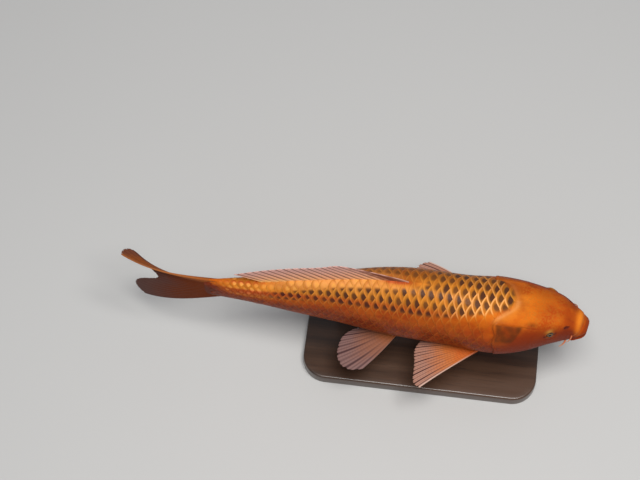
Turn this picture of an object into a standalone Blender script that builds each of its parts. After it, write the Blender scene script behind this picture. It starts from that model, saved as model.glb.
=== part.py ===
"""Koi carp, a still, life-size model held on a plain two-rod display stand.

Metres, +Z up, the head towards +X and the fish's left side towards +Y. The origin is the middle of
the underside of the stand's base.

The fish is drawn in its own coordinates, all shares of its standard length (snout to end of the tail
stalk): t runs back along the spine from 0 at the lips to 1 where the tail fin starts, y is to the
fish's left and z is up from the body's axis. place() bends them onto the spine and makes them metres.
"""

import math

import bmesh
import bpy
import numpy as np
from mathutils import Matrix

# Driving dimensions, in metres.
STANDARD_LENGTH = 0.450
AXIS_HEIGHT = 0.128        # the body's axis above the floor
BALANCE_T = 0.43           # the station that stands over the origin, near the centre of mass
GAP = 0.0003               # between touching pieces
GILL_COVER_THICKNESS = 0.003
GILL_COVER_PROUD = 0.0007
EYE_RADIUS = 0.0056
FIN_EDGE_THICKNESS = 0.0007
BASE_SIZE = (0.290, 0.124, 0.016)
BASE_CORNER_RADIUS = 0.030
BASE_EDGE_BEVEL = 0.0025
ROD_RADIUS = 0.004
ROD_FOOT_RADIUS = 0.0095
ROD_FOOT_HEIGHT = 0.004
ROD_CUP_RADIUS = 0.008

# Facets: round the body, along each of its lengths, and across each fin ray.
AROUND = 28
MOUTH_STRIPS, HEAD_STRIPS, TRUNK_FRONT_STRIPS, TRUNK_REAR_STRIPS, STALK_STRIPS = 7, 10, 6, 7, 6
COLUMNS_PER_RAY = 2

# The spine's heading in degrees at each t: the snout a little to the right, the back nearly straight,
# then the tail sweeping to the left.
HEADING = ((0.0, -11.0), (0.08, -2.4), (0.16, 5.0), (0.3, -1.0), (0.5, -0.3), (0.7, 2.2), (0.9, 2.0),
           (1.0, 2.5), (1.1, -5.0), (1.2, -22.0), (1.3, -42.0))

# The body's lines. Ring u lies at t; top, bottom and half are its reach up, down and sideways from
# height mid, and sweep is how far its sides lie behind its middle, as round the mouth's corners.
# Each ring's upper half is a superellipse of power crown: 2 is a plain ellipse, more is boxier.
LINES = (
    # u      t      top     bottom  half    mid     sweep  crown
    (-0.060, 0.0180, 0.0010, 0.0010, 0.0125, -0.013, 0.006, 2.1),   # inside the mouth
    (-0.045, 0.0080, 0.0018, 0.0018, 0.0230, -0.013, 0.022, 2.1),
    (-0.030, 0.0010, 0.0040, 0.0040, 0.0300, -0.013, 0.032, 2.1),   # the lips' inner edge
    (-0.015, 0.0005, 0.0140, 0.0130, 0.0355, -0.012, 0.034, 2.1),
    (0.000, 0.0070, 0.0230, 0.0205, 0.0385, -0.011, 0.031, 2.1),    # the lips' broadest place
    (0.015, 0.0150, 0.0295, 0.0250, 0.0410, -0.008, 0.024, 2.2),    # the fold behind them
    (0.045, 0.0420, 0.0470, 0.0390, 0.0470, -0.002, 0.008, 2.4),
    (0.070, 0.0680, 0.0620, 0.0480, 0.0570, 0.001, 0.001, 2.6),
    (0.110, 0.1100, 0.0735, 0.0610, 0.0725, 0.003, 0.000, 2.6),     # the eyes
    (0.170, 0.1700, 0.0905, 0.0790, 0.0910, 0.003, 0.000, 2.4),
    (0.240, 0.2400, 0.1090, 0.0970, 0.0995, 0.003, 0.000, 2.2),     # the gill covers' rear edge
    (0.330, 0.3300, 0.1250, 0.1130, 0.0900, 0.003, 0.000, 2.1),
    (0.440, 0.4400, 0.1320, 0.1210, 0.0855, 0.003, 0.000, 2.1),     # the deepest place
    (0.550, 0.5500, 0.1270, 0.1190, 0.0765, 0.003, 0.000, 2.1),
    (0.670, 0.6700, 0.1070, 0.1030, 0.0565, 0.002, 0.000, 2.1),
    (0.790, 0.7900, 0.0770, 0.0770, 0.0420, 0.001, 0.000, 2.1),
    (0.890, 0.8900, 0.0530, 0.0560, 0.0290, 0.000, 0.000, 2.1),     # the tail stalk's waist
    (0.960, 0.9600, 0.0470, 0.0530, 0.0180, 0.000, 0.000, 2.1),
    (1.000, 1.0000, 0.0460, 0.0550, 0.0085, 0.000, 0.000, 2.1),
)
MOUTH_U, FACE_U, NAPE_U, MIDDLE_U, VENT_U, STALK_END_U = -0.060, 0.045, 0.247, 0.460, 0.780, 1.000
CORNER_DROP = 0.35         # how far a swept side sits below its ring, as a share of its sweep
BELLY_POWER = 2.15         # the same power for every ring's lower half

# The gill cover's outline, an egg seen from the side: centre, reaches along t and z, and slope.
GILL_CENTRE = (0.196, 0.004)
GILL_REACH = (0.047, 0.075)
GILL_SLOPE = 0.12

EYE_T, EYE_Y, EYE_Z = 0.106, 0.0565, 0.0385

COLOURS = {
    # finish: colour, roughness, metallic
    "orange_skin": ((0.72, 0.22, 0.035), 0.38, 0.0),
    "golden_scales": ((0.62, 0.27, 0.06), 0.36, 0.0),
    "lip_skin": ((0.80, 0.30, 0.05), 0.40, 0.0),
    "gill_skin": ((0.42, 0.14, 0.03), 0.36, 0.0),
    "fin_membrane": ((0.62, 0.33, 0.20), 0.42, 0.0),
    "eye_gloss": ((0.10, 0.07, 0.03), 0.08, 0.0),
    "dark_wood": ((0.045, 0.024, 0.014), 0.35, 0.0),
    "steel": ((0.55, 0.55, 0.56), 0.28, 1.0),
}


def through(stations, column, x):
    """The natural cubic spline through (stations[:, 0], stations[:, column]), read at x."""
    table = np.asarray(stations, float)
    knots, values = table[:, 0], table[:, column]
    steps = np.diff(knots)
    rises = np.diff(values) / steps
    system = np.eye(len(knots))
    right_side = np.zeros(len(knots))
    for i in range(1, len(knots) - 1):
        system[i, i - 1:i + 2] = steps[i - 1], 2 * (steps[i - 1] + steps[i]), steps[i]
        right_side[i] = 6 * (rises[i] - rises[i - 1])
    bends = np.linalg.solve(system, right_side)
    x = np.asarray(x, float)
    i = np.clip(np.searchsorted(knots, x) - 1, 0, len(knots) - 2)
    before, after = (knots[i + 1] - x) / steps[i], (x - knots[i]) / steps[i]
    curve = (before ** 3 - before) * bends[i] + (after ** 3 - after) * bends[i + 1]
    return before * values[i] + after * values[i + 1] + curve * steps[i] ** 2 / 6


def trace_spine():
    """Stations along the spine with their plan position and heading, in standard lengths and radians."""
    t = np.linspace(0.0, 1.3, 1301)
    heading = np.radians(through(HEADING, 1, t))
    mean_heading = (heading[1:] + heading[:-1]) / 2
    step = t[1] - t[0]
    x = -np.concatenate([[0.0], np.cumsum(np.cos(mean_heading) * step)])
    y = -np.concatenate([[0.0], np.cumsum(np.sin(mean_heading) * step)])
    return t, x, y, heading


SPINE = trace_spine()


def place(t, y, z):
    """Fish coordinates to metres: y is laid off square to the spine, the balance point over the origin."""
    stations, spine_x, spine_y, headings = SPINE
    t, y, z = np.broadcast_arrays(np.asarray(t, float), np.asarray(y, float), np.asarray(z, float))
    heading = np.interp(t, stations, headings)
    x0 = np.interp(t, stations, spine_x) - np.interp(BALANCE_T, stations, spine_x)
    y0 = np.interp(t, stations, spine_y) - np.interp(BALANCE_T, stations, spine_y)
    x = x0 - np.sin(heading) * y
    return np.stack([x * STANDARD_LENGTH, (y0 + np.cos(heading) * y) * STANDARD_LENGTH,
                     z * STANDARD_LENGTH + AXIS_HEIGHT], axis=-1)


def ring(u, swell=0.0, shift=0.0):
    """One ring of the body, from its left side over the back.

    It lies swell metres outside the body's surface and shift metres further back.
    """
    t, top, bottom, half, mid, sweep, crown = (through(LINES, column, u) for column in range(1, 8))
    angle = np.linspace(0.0, 2 * math.pi, AROUND, endpoint=False)
    cosine, sine = np.cos(angle), np.sin(angle)
    more = swell / STANDARD_LENGTH
    reach = np.where(sine >= 0, top, bottom) + more
    power = 2 / np.where(sine >= 0, crown, BELLY_POWER)
    y = (half + more) * np.sign(cosine) * np.abs(cosine) ** power
    swept = sweep * cosine ** 4
    z = mid + reach * np.sign(sine) * np.abs(sine) ** power - CORNER_DROP * swept
    back = t + swept + shift / STANDARD_LENGTH
    return place(back, y, z)


def collection(name):
    """A new collection in the scene."""
    made = bpy.data.collections.new(name)
    bpy.context.scene.collection.children.link(made)
    return made


def material(finish):
    """The named finish as a Principled BSDF."""
    if finish in bpy.data.materials:
        return bpy.data.materials[finish]
    colour, roughness, metallic = COLOURS[finish]
    made = bpy.data.materials.new(finish)
    made.use_nodes = True
    shader = made.node_tree.nodes["Principled BSDF"]
    shader.inputs["Base Color"].default_value = (*colour, 1.0)
    shader.inputs["Roughness"].default_value = roughness
    shader.inputs["Metallic"].default_value = metallic
    return made


def add(name, mesh, group, finish=None):
    """An object for the mesh, in the group; without a finish it is a hidden cutter."""
    made = bpy.data.objects.new(name, mesh)
    group.objects.link(made)
    if finish is None:
        made.hide_render = True
        made.display_type = "WIRE"
    else:
        mesh.materials.append(material(finish))
        mesh.shade_smooth()
        mesh.set_sharp_from_angle(angle=math.radians(40))
    return made


def loft(name, rings):
    """A closed mesh through the rings, each end closed by a fan to its own middle."""
    count, around = len(rings), len(rings[0])
    shape = bmesh.new()
    rows = [[shape.verts.new(point) for point in points] for points in rings]
    for near, far in zip(rows, rows[1:]):
        for k in range(around):
            following = (k + 1) % around
            shape.faces.new((near[k], near[following], far[following], far[k]))
    for row, end in ((rows[0], 0), (rows[count - 1], count - 1)):
        middle = shape.verts.new(np.mean(rings[end], axis=0))
        for k in range(around):
            shape.faces.new((row[k], row[(k + 1) % around], middle))
    bmesh.ops.recalc_face_normals(shape, faces=shape.faces)
    mesh = bpy.data.meshes.new(name)
    shape.to_mesh(mesh)
    shape.free()
    return mesh


def body_length(name, first_u, last_u, strips, swell=0.0):
    """A length of the body between two rings, held half a gap inside each, unless it is a swollen cutter."""
    inset = 0.0 if swell else GAP / 2
    stations = np.linspace(first_u, last_u, strips + 1)
    shifts = np.zeros(strips + 1)
    shifts[0], shifts[-1] = inset, -inset
    return loft(name, [ring(u, swell, shift) for u, shift in zip(stations, shifts)])


def whole_body(name, swell):
    """The body in one piece, a little larger, to cut other pieces with."""
    stations = np.concatenate([
        np.linspace(MOUTH_U, FACE_U, MOUTH_STRIPS, endpoint=False),
        np.linspace(FACE_U, NAPE_U, HEAD_STRIPS, endpoint=False),
        np.linspace(NAPE_U, MIDDLE_U, TRUNK_FRONT_STRIPS, endpoint=False),
        np.linspace(MIDDLE_U, VENT_U, TRUNK_REAR_STRIPS, endpoint=False),
        np.linspace(VENT_U, STALK_END_U, STALK_STRIPS + 1),
    ])
    return loft(name, [ring(u, swell) for u in stations])


def combine(target, operation, other):
    """A Boolean modifier of the target with another object."""
    modifier = target.modifiers.new(f"{operation.lower()} {other.name}", "BOOLEAN")
    modifier.operation = operation
    modifier.object = other
    modifier.solver = "EXACT"


def gill_prism(name, side, margin):
    """A sideways prism over the gill cover, its egg-shaped outline margin metres larger."""
    angle = np.linspace(0.0, 2 * math.pi, 24, endpoint=False)
    larger = margin / STANDARD_LENGTH
    z = (GILL_REACH[1] + larger) * np.sin(angle)
    t = (GILL_REACH[0] + larger) * np.sign(np.cos(angle)) * np.abs(np.cos(angle)) ** 0.8 + GILL_SLOPE * z
    t, z = t + GILL_CENTRE[0], z + GILL_CENTRE[1]
    return loft(name, [place(t, side * reach, z) for reach in (0.012, 0.13)])


def build_body(parts, cutters):
    """Mouth, head, gill covers, trunk and tail stalk, parted by thin cuts. Returns the head."""
    lengths = (
        ("mouth", MOUTH_U, FACE_U, MOUTH_STRIPS, "lip_skin"),
        ("trunk_front", NAPE_U, MIDDLE_U, TRUNK_FRONT_STRIPS, "golden_scales"),
        ("trunk_rear", MIDDLE_U, VENT_U, TRUNK_REAR_STRIPS, "golden_scales"),
        ("tail_stalk", VENT_U, STALK_END_U, STALK_STRIPS, "orange_skin"),
    )
    for name, first_u, last_u, strips, finish in lengths:
        add(name, body_length(name, first_u, last_u, strips), parts, finish)
    head = add("head", body_length("head", FACE_U, NAPE_U, HEAD_STRIPS), parts, "orange_skin")
    build_gill_covers(head, parts, cutters)
    return head


def build_gill_covers(head, parts, cutters):
    """Each gill cover is a plate of the head's own surface, a little proud, in a pocket in the head."""
    rear_u = NAPE_U + (NAPE_U - FACE_U) / HEAD_STRIPS
    cores = []
    for name, depth in (("plate_core", GILL_COVER_THICKNESS), ("pocket_core", GILL_COVER_THICKNESS + GAP)):
        mesh = body_length(name, FACE_U, rear_u, HEAD_STRIPS + 1, -depth)
        cores.append(add(name, mesh, cutters))
    plate_core, pocket_core = cores
    for side, word in ((1, "left"), (-1, "right")):
        pocket = add(f"gill_pocket_{word}", gill_prism(f"gill_pocket_{word}", side, GAP), cutters)
        combine(pocket, "DIFFERENCE", pocket_core)
        combine(head, "DIFFERENCE", pocket)
        name = f"gill_cover_{word}"
        plate = body_length(name, FACE_U, rear_u, HEAD_STRIPS + 1, GILL_COVER_PROUD)
        cover = add(name, plate, parts, "gill_skin")
        outline = add(f"gill_outline_{word}", gill_prism(f"gill_outline_{word}", side, 0.0), cutters)
        combine(cover, "INTERSECT", outline)
        combine(cover, "DIFFERENCE", plate_core)


def sphere_mesh(name, centre, radius, segments=14, rings=8):
    """A sphere with its poles to the left and right, at a place in metres."""
    shape = bmesh.new()
    bmesh.ops.create_uvsphere(shape, u_segments=segments, v_segments=rings, radius=radius)
    bmesh.ops.transform(shape, matrix=Matrix.Translation(centre) @ Matrix.Rotation(math.pi / 2, 4, "X"),
                        verts=shape.verts)
    mesh = bpy.data.meshes.new(name)
    shape.to_mesh(mesh)
    shape.free()
    return mesh


def build_eyes(head, parts, cutters):
    """Both eyeballs, each in a socket of its own in the head."""
    for side, word in ((1, "left"), (-1, "right")):
        centre = place(EYE_T, side * EYE_Y, EYE_Z)
        hollow = sphere_mesh(f"eye_socket_{word}", centre, EYE_RADIUS + GAP)
        socket = add(f"eye_socket_{word}", hollow, cutters)
        combine(head, "DIFFERENCE", socket)
        add(f"eye_{word}", sphere_mesh(f"eye_{word}", centre, EYE_RADIUS), parts, "eye_gloss")


def tapered_tube(name, points, start_radius, end_radius, group):
    """A tube mesh along a smooth curve through the points, tapering to a rounded tip."""
    curve = bpy.data.curves.new(name + "_line", "CURVE")
    curve.dimensions = "3D"
    curve.bevel_depth = 1.0
    curve.bevel_resolution = 1
    curve.resolution_u = 3
    curve.use_fill_caps = True
    spline = curve.splines.new("NURBS")
    spline.points.add(len(points) - 1)
    spline.order_u = 4
    spline.use_endpoint_u = True
    radii = np.linspace(start_radius, end_radius, len(points))
    for control, point, radius in zip(spline.points, points, radii):
        control.co = (*point, 1.0)
        control.radius = radius
    line = bpy.data.objects.new(name + "_line", curve)
    group.objects.link(line)
    graph = bpy.context.evaluated_depsgraph_get()
    mesh = bpy.data.meshes.new_from_object(line.evaluated_get(graph))
    bpy.data.objects.remove(line)
    shape = bmesh.new()
    shape.from_mesh(mesh)
    bmesh.ops.remove_doubles(shape, verts=shape.verts, dist=1e-5)
    shape.to_mesh(mesh)
    shape.free()
    mesh.name = name
    return mesh


def build_barbels(parts, envelope):
    """Four barbels: a short pair on the upper lip and a long pair at the mouth's corners."""
    pairs = {
        # name: root and three further control points as (t, y, z), and the radii in metres
        "barbel_lip": (((0.040, 0.034, 0.004), (0.036, 0.046, 0.006), (0.040, 0.053, 0.002),
                        (0.049, 0.057, -0.006)), 0.0010, 0.00045),
        "barbel_corner": (((0.052, 0.036, -0.020), (0.050, 0.049, -0.022), (0.056, 0.057, -0.027),
                           (0.068, 0.060, -0.036)), 0.0014, 0.00055),
    }
    for side, word in ((1, "left"), (-1, "right")):
        for pair, (route, start_radius, end_radius) in pairs.items():
            points = [place(t, side * y, z) for t, y, z in route]
            name = f"{pair}_{word}"
            barbel = add(name, tapered_tube(name, points, start_radius, end_radius, parts), parts, "lip_skin")
            combine(barbel, "DIFFERENCE", envelope)


class Fin:
    """A fan of rays from a base line, in fish coordinates.

    Rays start at even steps from base_front to base_rear. Share a runs from 0 at the leading ray to 1
    at the last, and each ray leaves at its angle between straight back and the out direction. bow
    turns a ray further as it runs out, and cup bends each ray towards the fan's own normal. Angles,
    lengths and cup are stations along the share.
    """

    def __init__(self, name, rays, base_front, base_rear, out, angles, lengths, bow=0.0,
                 cup=((0.0, 0.0), (1.0, 0.0)), thickness=0.0028, rows=3, reach=(0.0, 1.0)):
        self.name, self.rays, self.rows, self.reach = name, rays, rows, reach
        self.base_front, self.base_rear = np.array(base_front), np.array(base_rear)
        self.out = np.array(out) / np.linalg.norm(out)
        self.angles, self.lengths = angles, lengths
        self.bow, self.cup, self.thickness = math.radians(bow), cup, thickness

    def points(self, share, run):
        """The fan's middle surface: share across the rays, run from 0 at the base to 1 at the margin."""
        back = np.array((1.0, 0.0, 0.0))
        angle = np.radians(through(self.angles, 1, share)) + self.bow * run
        length = through(self.lengths, 1, share) * run
        base = self.base_front + (self.base_rear - self.base_front) * share[..., None]
        along = length * np.cos(angle)
        outwards = length * np.sin(angle)
        bend = through(self.cup, 1, share) * run ** 2
        normal = np.cross(back, self.out)
        spot = base + along[..., None] * back + outwards[..., None] * self.out + bend[..., None] * normal
        return place(spot[..., 0], spot[..., 1], spot[..., 2])

    def mesh(self):
        """The middle surface as a grid, with each vertex's share of the full thickness."""
        first, last = self.reach
        columns = max(4, round(self.rays * COLUMNS_PER_RAY * (last - first)))
        shape = bmesh.new()
        # The grid's x counts the columns and its y the rows, both from -1 to 1.
        bmesh.ops.create_grid(shape, x_segments=columns, y_segments=self.rows, size=1.0)
        grid = np.array([vert.co[:] for vert in shape.verts])
        share = first + (last - first) * (grid[:, 0] + 1) / 2
        run = (grid[:, 1] + 1) / 2
        on_ray = np.cos(share * (self.rays - 1) * 2 * math.pi) / 2 + 0.5
        notch = 0.03 * (1 - on_ray) * run ** 6
        for vert, point in zip(shape.verts, self.points(share, run * (1 - notch))):
            vert.co = point
        mesh = bpy.data.meshes.new(self.name)
        shape.to_mesh(mesh)
        shape.free()
        edge = FIN_EDGE_THICKNESS / self.thickness
        weights = edge + (1 - edge) * (1 - run) ** 1.6 + 0.12 * on_ray * (0.3 + run) * (1.2 - run)
        return mesh, np.clip(weights, edge, 1.0)

    def build(self, parts, envelope):
        """The fin as a solid sheet, thick at its root, cut clear of the body."""
        mesh, weights = self.mesh()
        made = add(self.name, mesh, parts, "fin_membrane")
        group = made.vertex_groups.new(name="thickness")
        for index, weight in enumerate(weights):
            group.add([index], float(weight), "REPLACE")
        shell = made.modifiers.new("shell", "SOLIDIFY")
        shell.thickness = self.thickness
        shell.offset = 0.0
        shell.vertex_group = group.name
        combine(made, "DIFFERENCE", envelope)
        return made


def build_fins(parts, envelope):
    """The median fins, the two lobes of the tail fin and the paired fins."""
    lean = math.radians(4)
    Fin("dorsal_fin", 19, (0.455, 0.0, 0.121), (0.860, 0.0, 0.052), (0.0, math.sin(lean), math.cos(lean)),
        angles=((0.0, 24), (0.15, 27), (0.5, 32), (0.8, 27), (1.0, 19)),
        lengths=((0.0, 0.052), (0.06, 0.102), (0.14, 0.146), (0.3, 0.140), (0.6, 0.117), (1.0, 0.088)),
        thickness=0.0030).build(parts, envelope)
    Fin("anal_fin", 8, (0.765, 0.0, -0.071), (0.845, 0.0, -0.055), (0.0, 0.0, -1.0),
        angles=((0.0, 16), (0.5, 13), (1.0, 10)),
        lengths=((0.0, 0.072), (0.2, 0.098), (0.6, 0.089), (1.0, 0.064)),
        thickness=0.0034).build(parts, envelope)
    tail_gap = 0.0012
    for word, reach in (("upper", (0.0, 0.5 - tail_gap)), ("lower", (0.5 + tail_gap, 1.0))):
        Fin(f"tail_fin_{word}", 19, (0.975, 0.0, 0.038), (0.975, 0.0, -0.047), (0.0, 0.0, 1.0),
            angles=((0.0, 8.5), (0.25, 5.5), (0.5, 0), (0.75, -14), (1.0, -25)),
            lengths=((0.0, 0.273), (0.1, 0.282), (0.2, 0.269), (0.32, 0.222), (0.5, 0.180), (0.62, 0.222),
                     (0.75, 0.260), (0.88, 0.269), (1.0, 0.256)),
            cup=((0.0, 0.020), (0.125, -0.004), (0.22, -0.020), (0.35, -0.010), (0.5, 0.0), (1.0, 0.0)),
            thickness=0.0050, rows=5, reach=reach).build(parts, envelope)
    pectorals = (
        # side, front station, rise, bow, cup, angles and lengths: the right one spread, the left swept back
        (-1, "right", 0.266, -0.10, 0, 0.012, ((0.0, 42), (0.5, 24), (1.0, 7)),
         ((0.0, 0.204), (0.12, 0.209), (0.25, 0.198), (0.5, 0.175), (0.75, 0.161), (1.0, 0.136))),
        (1, "left", 0.262, 0.055, -14, 0.004, ((0.0, 43), (0.5, 26), (1.0, 10)),
         ((0.0, 0.204), (0.12, 0.216), (0.25, 0.214), (0.5, 0.192), (0.75, 0.168), (1.0, 0.136))),
    )
    for side, word, front, rise, bow, cup, angles, lengths in pectorals:
        Fin(f"pectoral_fin_{word}", 15, (front, side * 0.062, -0.066), (0.300, side * 0.048, -0.082),
            (0.0, side, rise), angles=angles, lengths=lengths, bow=bow,
            cup=((0.0, -side * cup), (1.0, -side * cup)), thickness=0.0034).build(parts, envelope)
    for side, word, bow, angles in ((-1, "right", -8, ((0.0, 60), (0.5, 36), (1.0, 20))),
                                    (1, "left", -4, ((0.0, 34), (0.5, 20), (1.0, 8)))):
        Fin(f"pelvic_fin_{word}", 9, (0.490, side * 0.030, -0.104), (0.520, side * 0.018, -0.108),
            (0.0, side, -0.06), angles=angles,
            lengths=((0.0, 0.168), (0.12, 0.184), (0.25, 0.190), (0.6, 0.164), (0.85, 0.132), (1.0, 0.100)),
            bow=bow, cup=((0.0, -side * 0.008), (1.0, -side * 0.008)),
            thickness=0.0032).build(parts, envelope)


def build_stand(parts, envelope):
    """A flat base with rounded corners, and two turned rods cupped to the belly."""
    shape = bmesh.new()
    bmesh.ops.create_cube(shape, size=1.0)
    bmesh.ops.scale(shape, vec=BASE_SIZE, verts=shape.verts)
    bmesh.ops.translate(shape, vec=(0, 0, BASE_SIZE[2] / 2), verts=shape.verts)
    uprights = [e for e in shape.edges if abs(e.verts[0].co.z - e.verts[1].co.z) > BASE_SIZE[2] / 2]
    bmesh.ops.bevel(shape, geom=uprights, offset=BASE_CORNER_RADIUS, segments=4, affect="EDGES", profile=0.5)
    mesh = bpy.data.meshes.new("stand_base")
    shape.to_mesh(mesh)
    shape.free()
    base = add("stand_base", mesh, parts, "dark_wood")
    edge = base.modifiers.new("soft edges", "BEVEL")
    edge.width = BASE_EDGE_BEVEL
    edge.segments = 2
    edge.limit_method = "ANGLE"
    edge.angle_limit = math.radians(60)

    for word, t in (("front", 0.325), ("rear", 0.600)):
        x, y, belly = place(t, 0.0, through(LINES, 5, t) - through(LINES, 3, t))
        floor = BASE_SIZE[2] + GAP
        profile = (
            (0.0, belly + 0.010), (ROD_CUP_RADIUS, belly + 0.010), (ROD_CUP_RADIUS, belly - 0.002),
            (ROD_RADIUS, belly - 0.014), (ROD_RADIUS, floor + ROD_FOOT_HEIGHT + 0.003),
            (ROD_RADIUS + 0.002, floor + ROD_FOOT_HEIGHT), (ROD_FOOT_RADIUS - 0.001, floor + ROD_FOOT_HEIGHT),
            (ROD_FOOT_RADIUS, floor + ROD_FOOT_HEIGHT - 0.001), (ROD_FOOT_RADIUS, floor), (0.0, floor),
        )
        outline = bmesh.new()
        verts = [outline.verts.new((radius, 0.0, height)) for radius, height in profile]
        for first, second in zip(verts, verts[1:]):
            outline.edges.new((first, second))
        mesh = bpy.data.meshes.new(f"stand_rod_{word}")
        outline.to_mesh(mesh)
        outline.free()
        rod = add(f"stand_rod_{word}", mesh, parts, "steel")
        rod.location = (x, y, 0.0)
        turned = rod.modifiers.new("turned", "SCREW")
        turned.steps = turned.render_steps = 16
        turned.use_merge_vertices = True
        turned.merge_threshold = 0.00005
        combine(rod, "DIFFERENCE", envelope)


def main():
    """Clears the scene and builds the fish and its stand."""
    for old in list(bpy.data.objects):
        bpy.data.objects.remove(old, do_unlink=True)
    parts = collection("koi_carp")
    cutters = collection("cutters")
    cutters.hide_render = True
    envelope = add("body_envelope", whole_body("body_envelope", GAP), cutters)
    head = build_body(parts, cutters)
    build_eyes(head, parts, cutters)
    build_barbels(parts, envelope)
    build_fins(parts, envelope)
    build_stand(parts, envelope)


main()
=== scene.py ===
"""Looks of a life-size koi carp on a two-rod display stand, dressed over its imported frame.

The fish is drawn in its own coordinates, all shares of its standard length: t runs back along the spine
from 0 at the lips to 1 at the end of the tail stalk, y is to the fish's left and z is up from the body's
axis. A place on the body's surface is also named by t and tau: 0 on the back's ridge, 0.5 on the left
side's lateral line, -0.5 on the right one's, and 1 or -1 on the belly's middle.
"""

import logging
import math
from dataclasses import dataclass
from enum import Enum
from functools import cached_property
from typing import Dict, Optional, Sequence, Tuple

import bpy
import numpy as np
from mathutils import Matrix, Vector

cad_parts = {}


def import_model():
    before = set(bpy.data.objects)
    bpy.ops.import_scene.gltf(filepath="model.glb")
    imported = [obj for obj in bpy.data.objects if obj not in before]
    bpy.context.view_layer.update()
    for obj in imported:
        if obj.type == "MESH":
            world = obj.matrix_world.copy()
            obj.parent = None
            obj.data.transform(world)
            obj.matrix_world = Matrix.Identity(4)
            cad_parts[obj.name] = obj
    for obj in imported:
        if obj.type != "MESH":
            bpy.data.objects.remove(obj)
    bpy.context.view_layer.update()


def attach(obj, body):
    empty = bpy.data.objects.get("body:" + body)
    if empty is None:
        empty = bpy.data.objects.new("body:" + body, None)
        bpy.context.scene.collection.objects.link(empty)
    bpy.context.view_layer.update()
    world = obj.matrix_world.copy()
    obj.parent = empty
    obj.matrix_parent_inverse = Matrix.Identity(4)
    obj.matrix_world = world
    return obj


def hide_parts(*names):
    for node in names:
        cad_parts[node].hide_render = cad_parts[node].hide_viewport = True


LOG = logging.getLogger("koi")
MM = 0.001
BODY = "root"
Stations = Sequence[Tuple[float, ...]]
Colour = Tuple[float, float, float]
Coordinates = Tuple[np.ndarray, np.ndarray, np.ndarray]
Point = Tuple[float, float, float]
Span = Tuple[float, float]


class Side(Enum):
    """The fish's own left and right, as the sign of y."""

    LEFT = 1
    RIGHT = -1

    @property
    def word(self) -> str:
        """The side's word, as node names end."""
        return self.name.lower()


# --------------------------------------------------------------------------- curves and meshes


def smooth(low: float, high: float, x: np.ndarray) -> np.ndarray:
    """Rises from 0 at low to 1 at high as 3s^2 - 2s^3, level outside; low may be the larger."""
    s = np.clip((np.asarray(x, float) - low) / (high - low), 0.0, 1.0)
    return s * s * (3.0 - 2.0 * s)


def bell(x: np.ndarray, centre: float, width: float) -> np.ndarray:
    """A bell of height 1 round centre: exp of minus the square of the distance in widths."""
    return np.exp(-(((x - centre) / width) ** 2))


def spline(stations: Stations, column: int, x: np.ndarray) -> np.ndarray:
    """The natural cubic spline through one column of the stations, against their first column.

    Args:
        stations: rows that start with a place and go on with the values there.
        column: the value's place in a row.
        x: where to read it.

    Returns:
        The values at x.
    """
    table = np.asarray(stations, float)
    knots, values = table[:, 0], table[:, column]
    steps = np.diff(knots)
    rises = np.diff(values) / steps
    system = np.eye(len(knots))
    right_side = np.zeros(len(knots))
    for i in range(1, len(knots) - 1):
        system[i, i - 1:i + 2] = steps[i - 1], 2 * (steps[i - 1] + steps[i]), steps[i]
        right_side[i] = 6 * (rises[i] - rises[i - 1])
    bends = np.linalg.solve(system, right_side)
    x = np.clip(np.asarray(x, float), knots[0], knots[-1])
    i = np.clip(np.searchsorted(knots, x) - 1, 0, len(knots) - 2)
    before, after = (knots[i + 1] - x) / steps[i], (x - knots[i]) / steps[i]
    curve = (before**3 - before) * bends[i] + (after**3 - after) * bends[i + 1]
    return before * values[i] + after * values[i + 1] + curve * steps[i] ** 2 / 6


def unit(vectors: np.ndarray) -> np.ndarray:
    """The vectors at length 1, along the last axis."""
    return vectors / np.maximum(np.linalg.norm(vectors, axis=-1, keepdims=True), 1e-12)


def stacked(*parts: object) -> np.ndarray:
    """The parts side by side along a new last axis, each spread to their common shape."""
    return np.stack(np.broadcast_arrays(*parts), axis=-1)


def grid_quads(rows: int, columns: int, wrap: bool = False) -> np.ndarray:
    """The quads of a grid whose vertices are numbered row by row; wrap joins the last column to the first."""
    row = np.arange(rows - 1)[:, None]
    column = np.arange(columns if wrap else columns - 1)[None, :]
    following = (column + 1) % columns
    low, high = row * columns, (row + 1) * columns
    return stacked(low + column, low + following, high + following, high + column).reshape(-1, 4)


def rim_quads(rows: int, columns: int) -> np.ndarray:
    """The wall of quads between a grid's edge and the edge of its copy, numbered after it."""
    edge = np.concatenate([
        np.arange(columns),
        np.arange(1, rows) * columns + columns - 1,
        (rows - 1) * columns + np.arange(columns - 2, -1, -1),
        np.arange(rows - 2, 0, -1) * columns,
    ])
    following = np.roll(edge, -1)
    copy = rows * columns
    return stacked(following, edge, edge + copy, following + copy)


def sheet_quads(rows: int, columns: int) -> np.ndarray:
    """The quads of a closed sheet: a grid, its copy turned over, and the wall round them."""
    face = grid_quads(rows, columns)
    return np.concatenate([face, face[:, ::-1] + rows * columns, rim_quads(rows, columns)])


def volume_sign(points: np.ndarray, quads: np.ndarray) -> float:
    """1 where the faces point outwards and -1 where inwards, from the sum of their signed volumes."""
    a, b, c, d = (points[quads[:, k]] for k in range(4))
    total = np.einsum("ij,ij->", a, np.cross(b, c)) + np.einsum("ij,ij->", a, np.cross(c, d))
    return 1.0 if total >= 0 else -1.0


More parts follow.
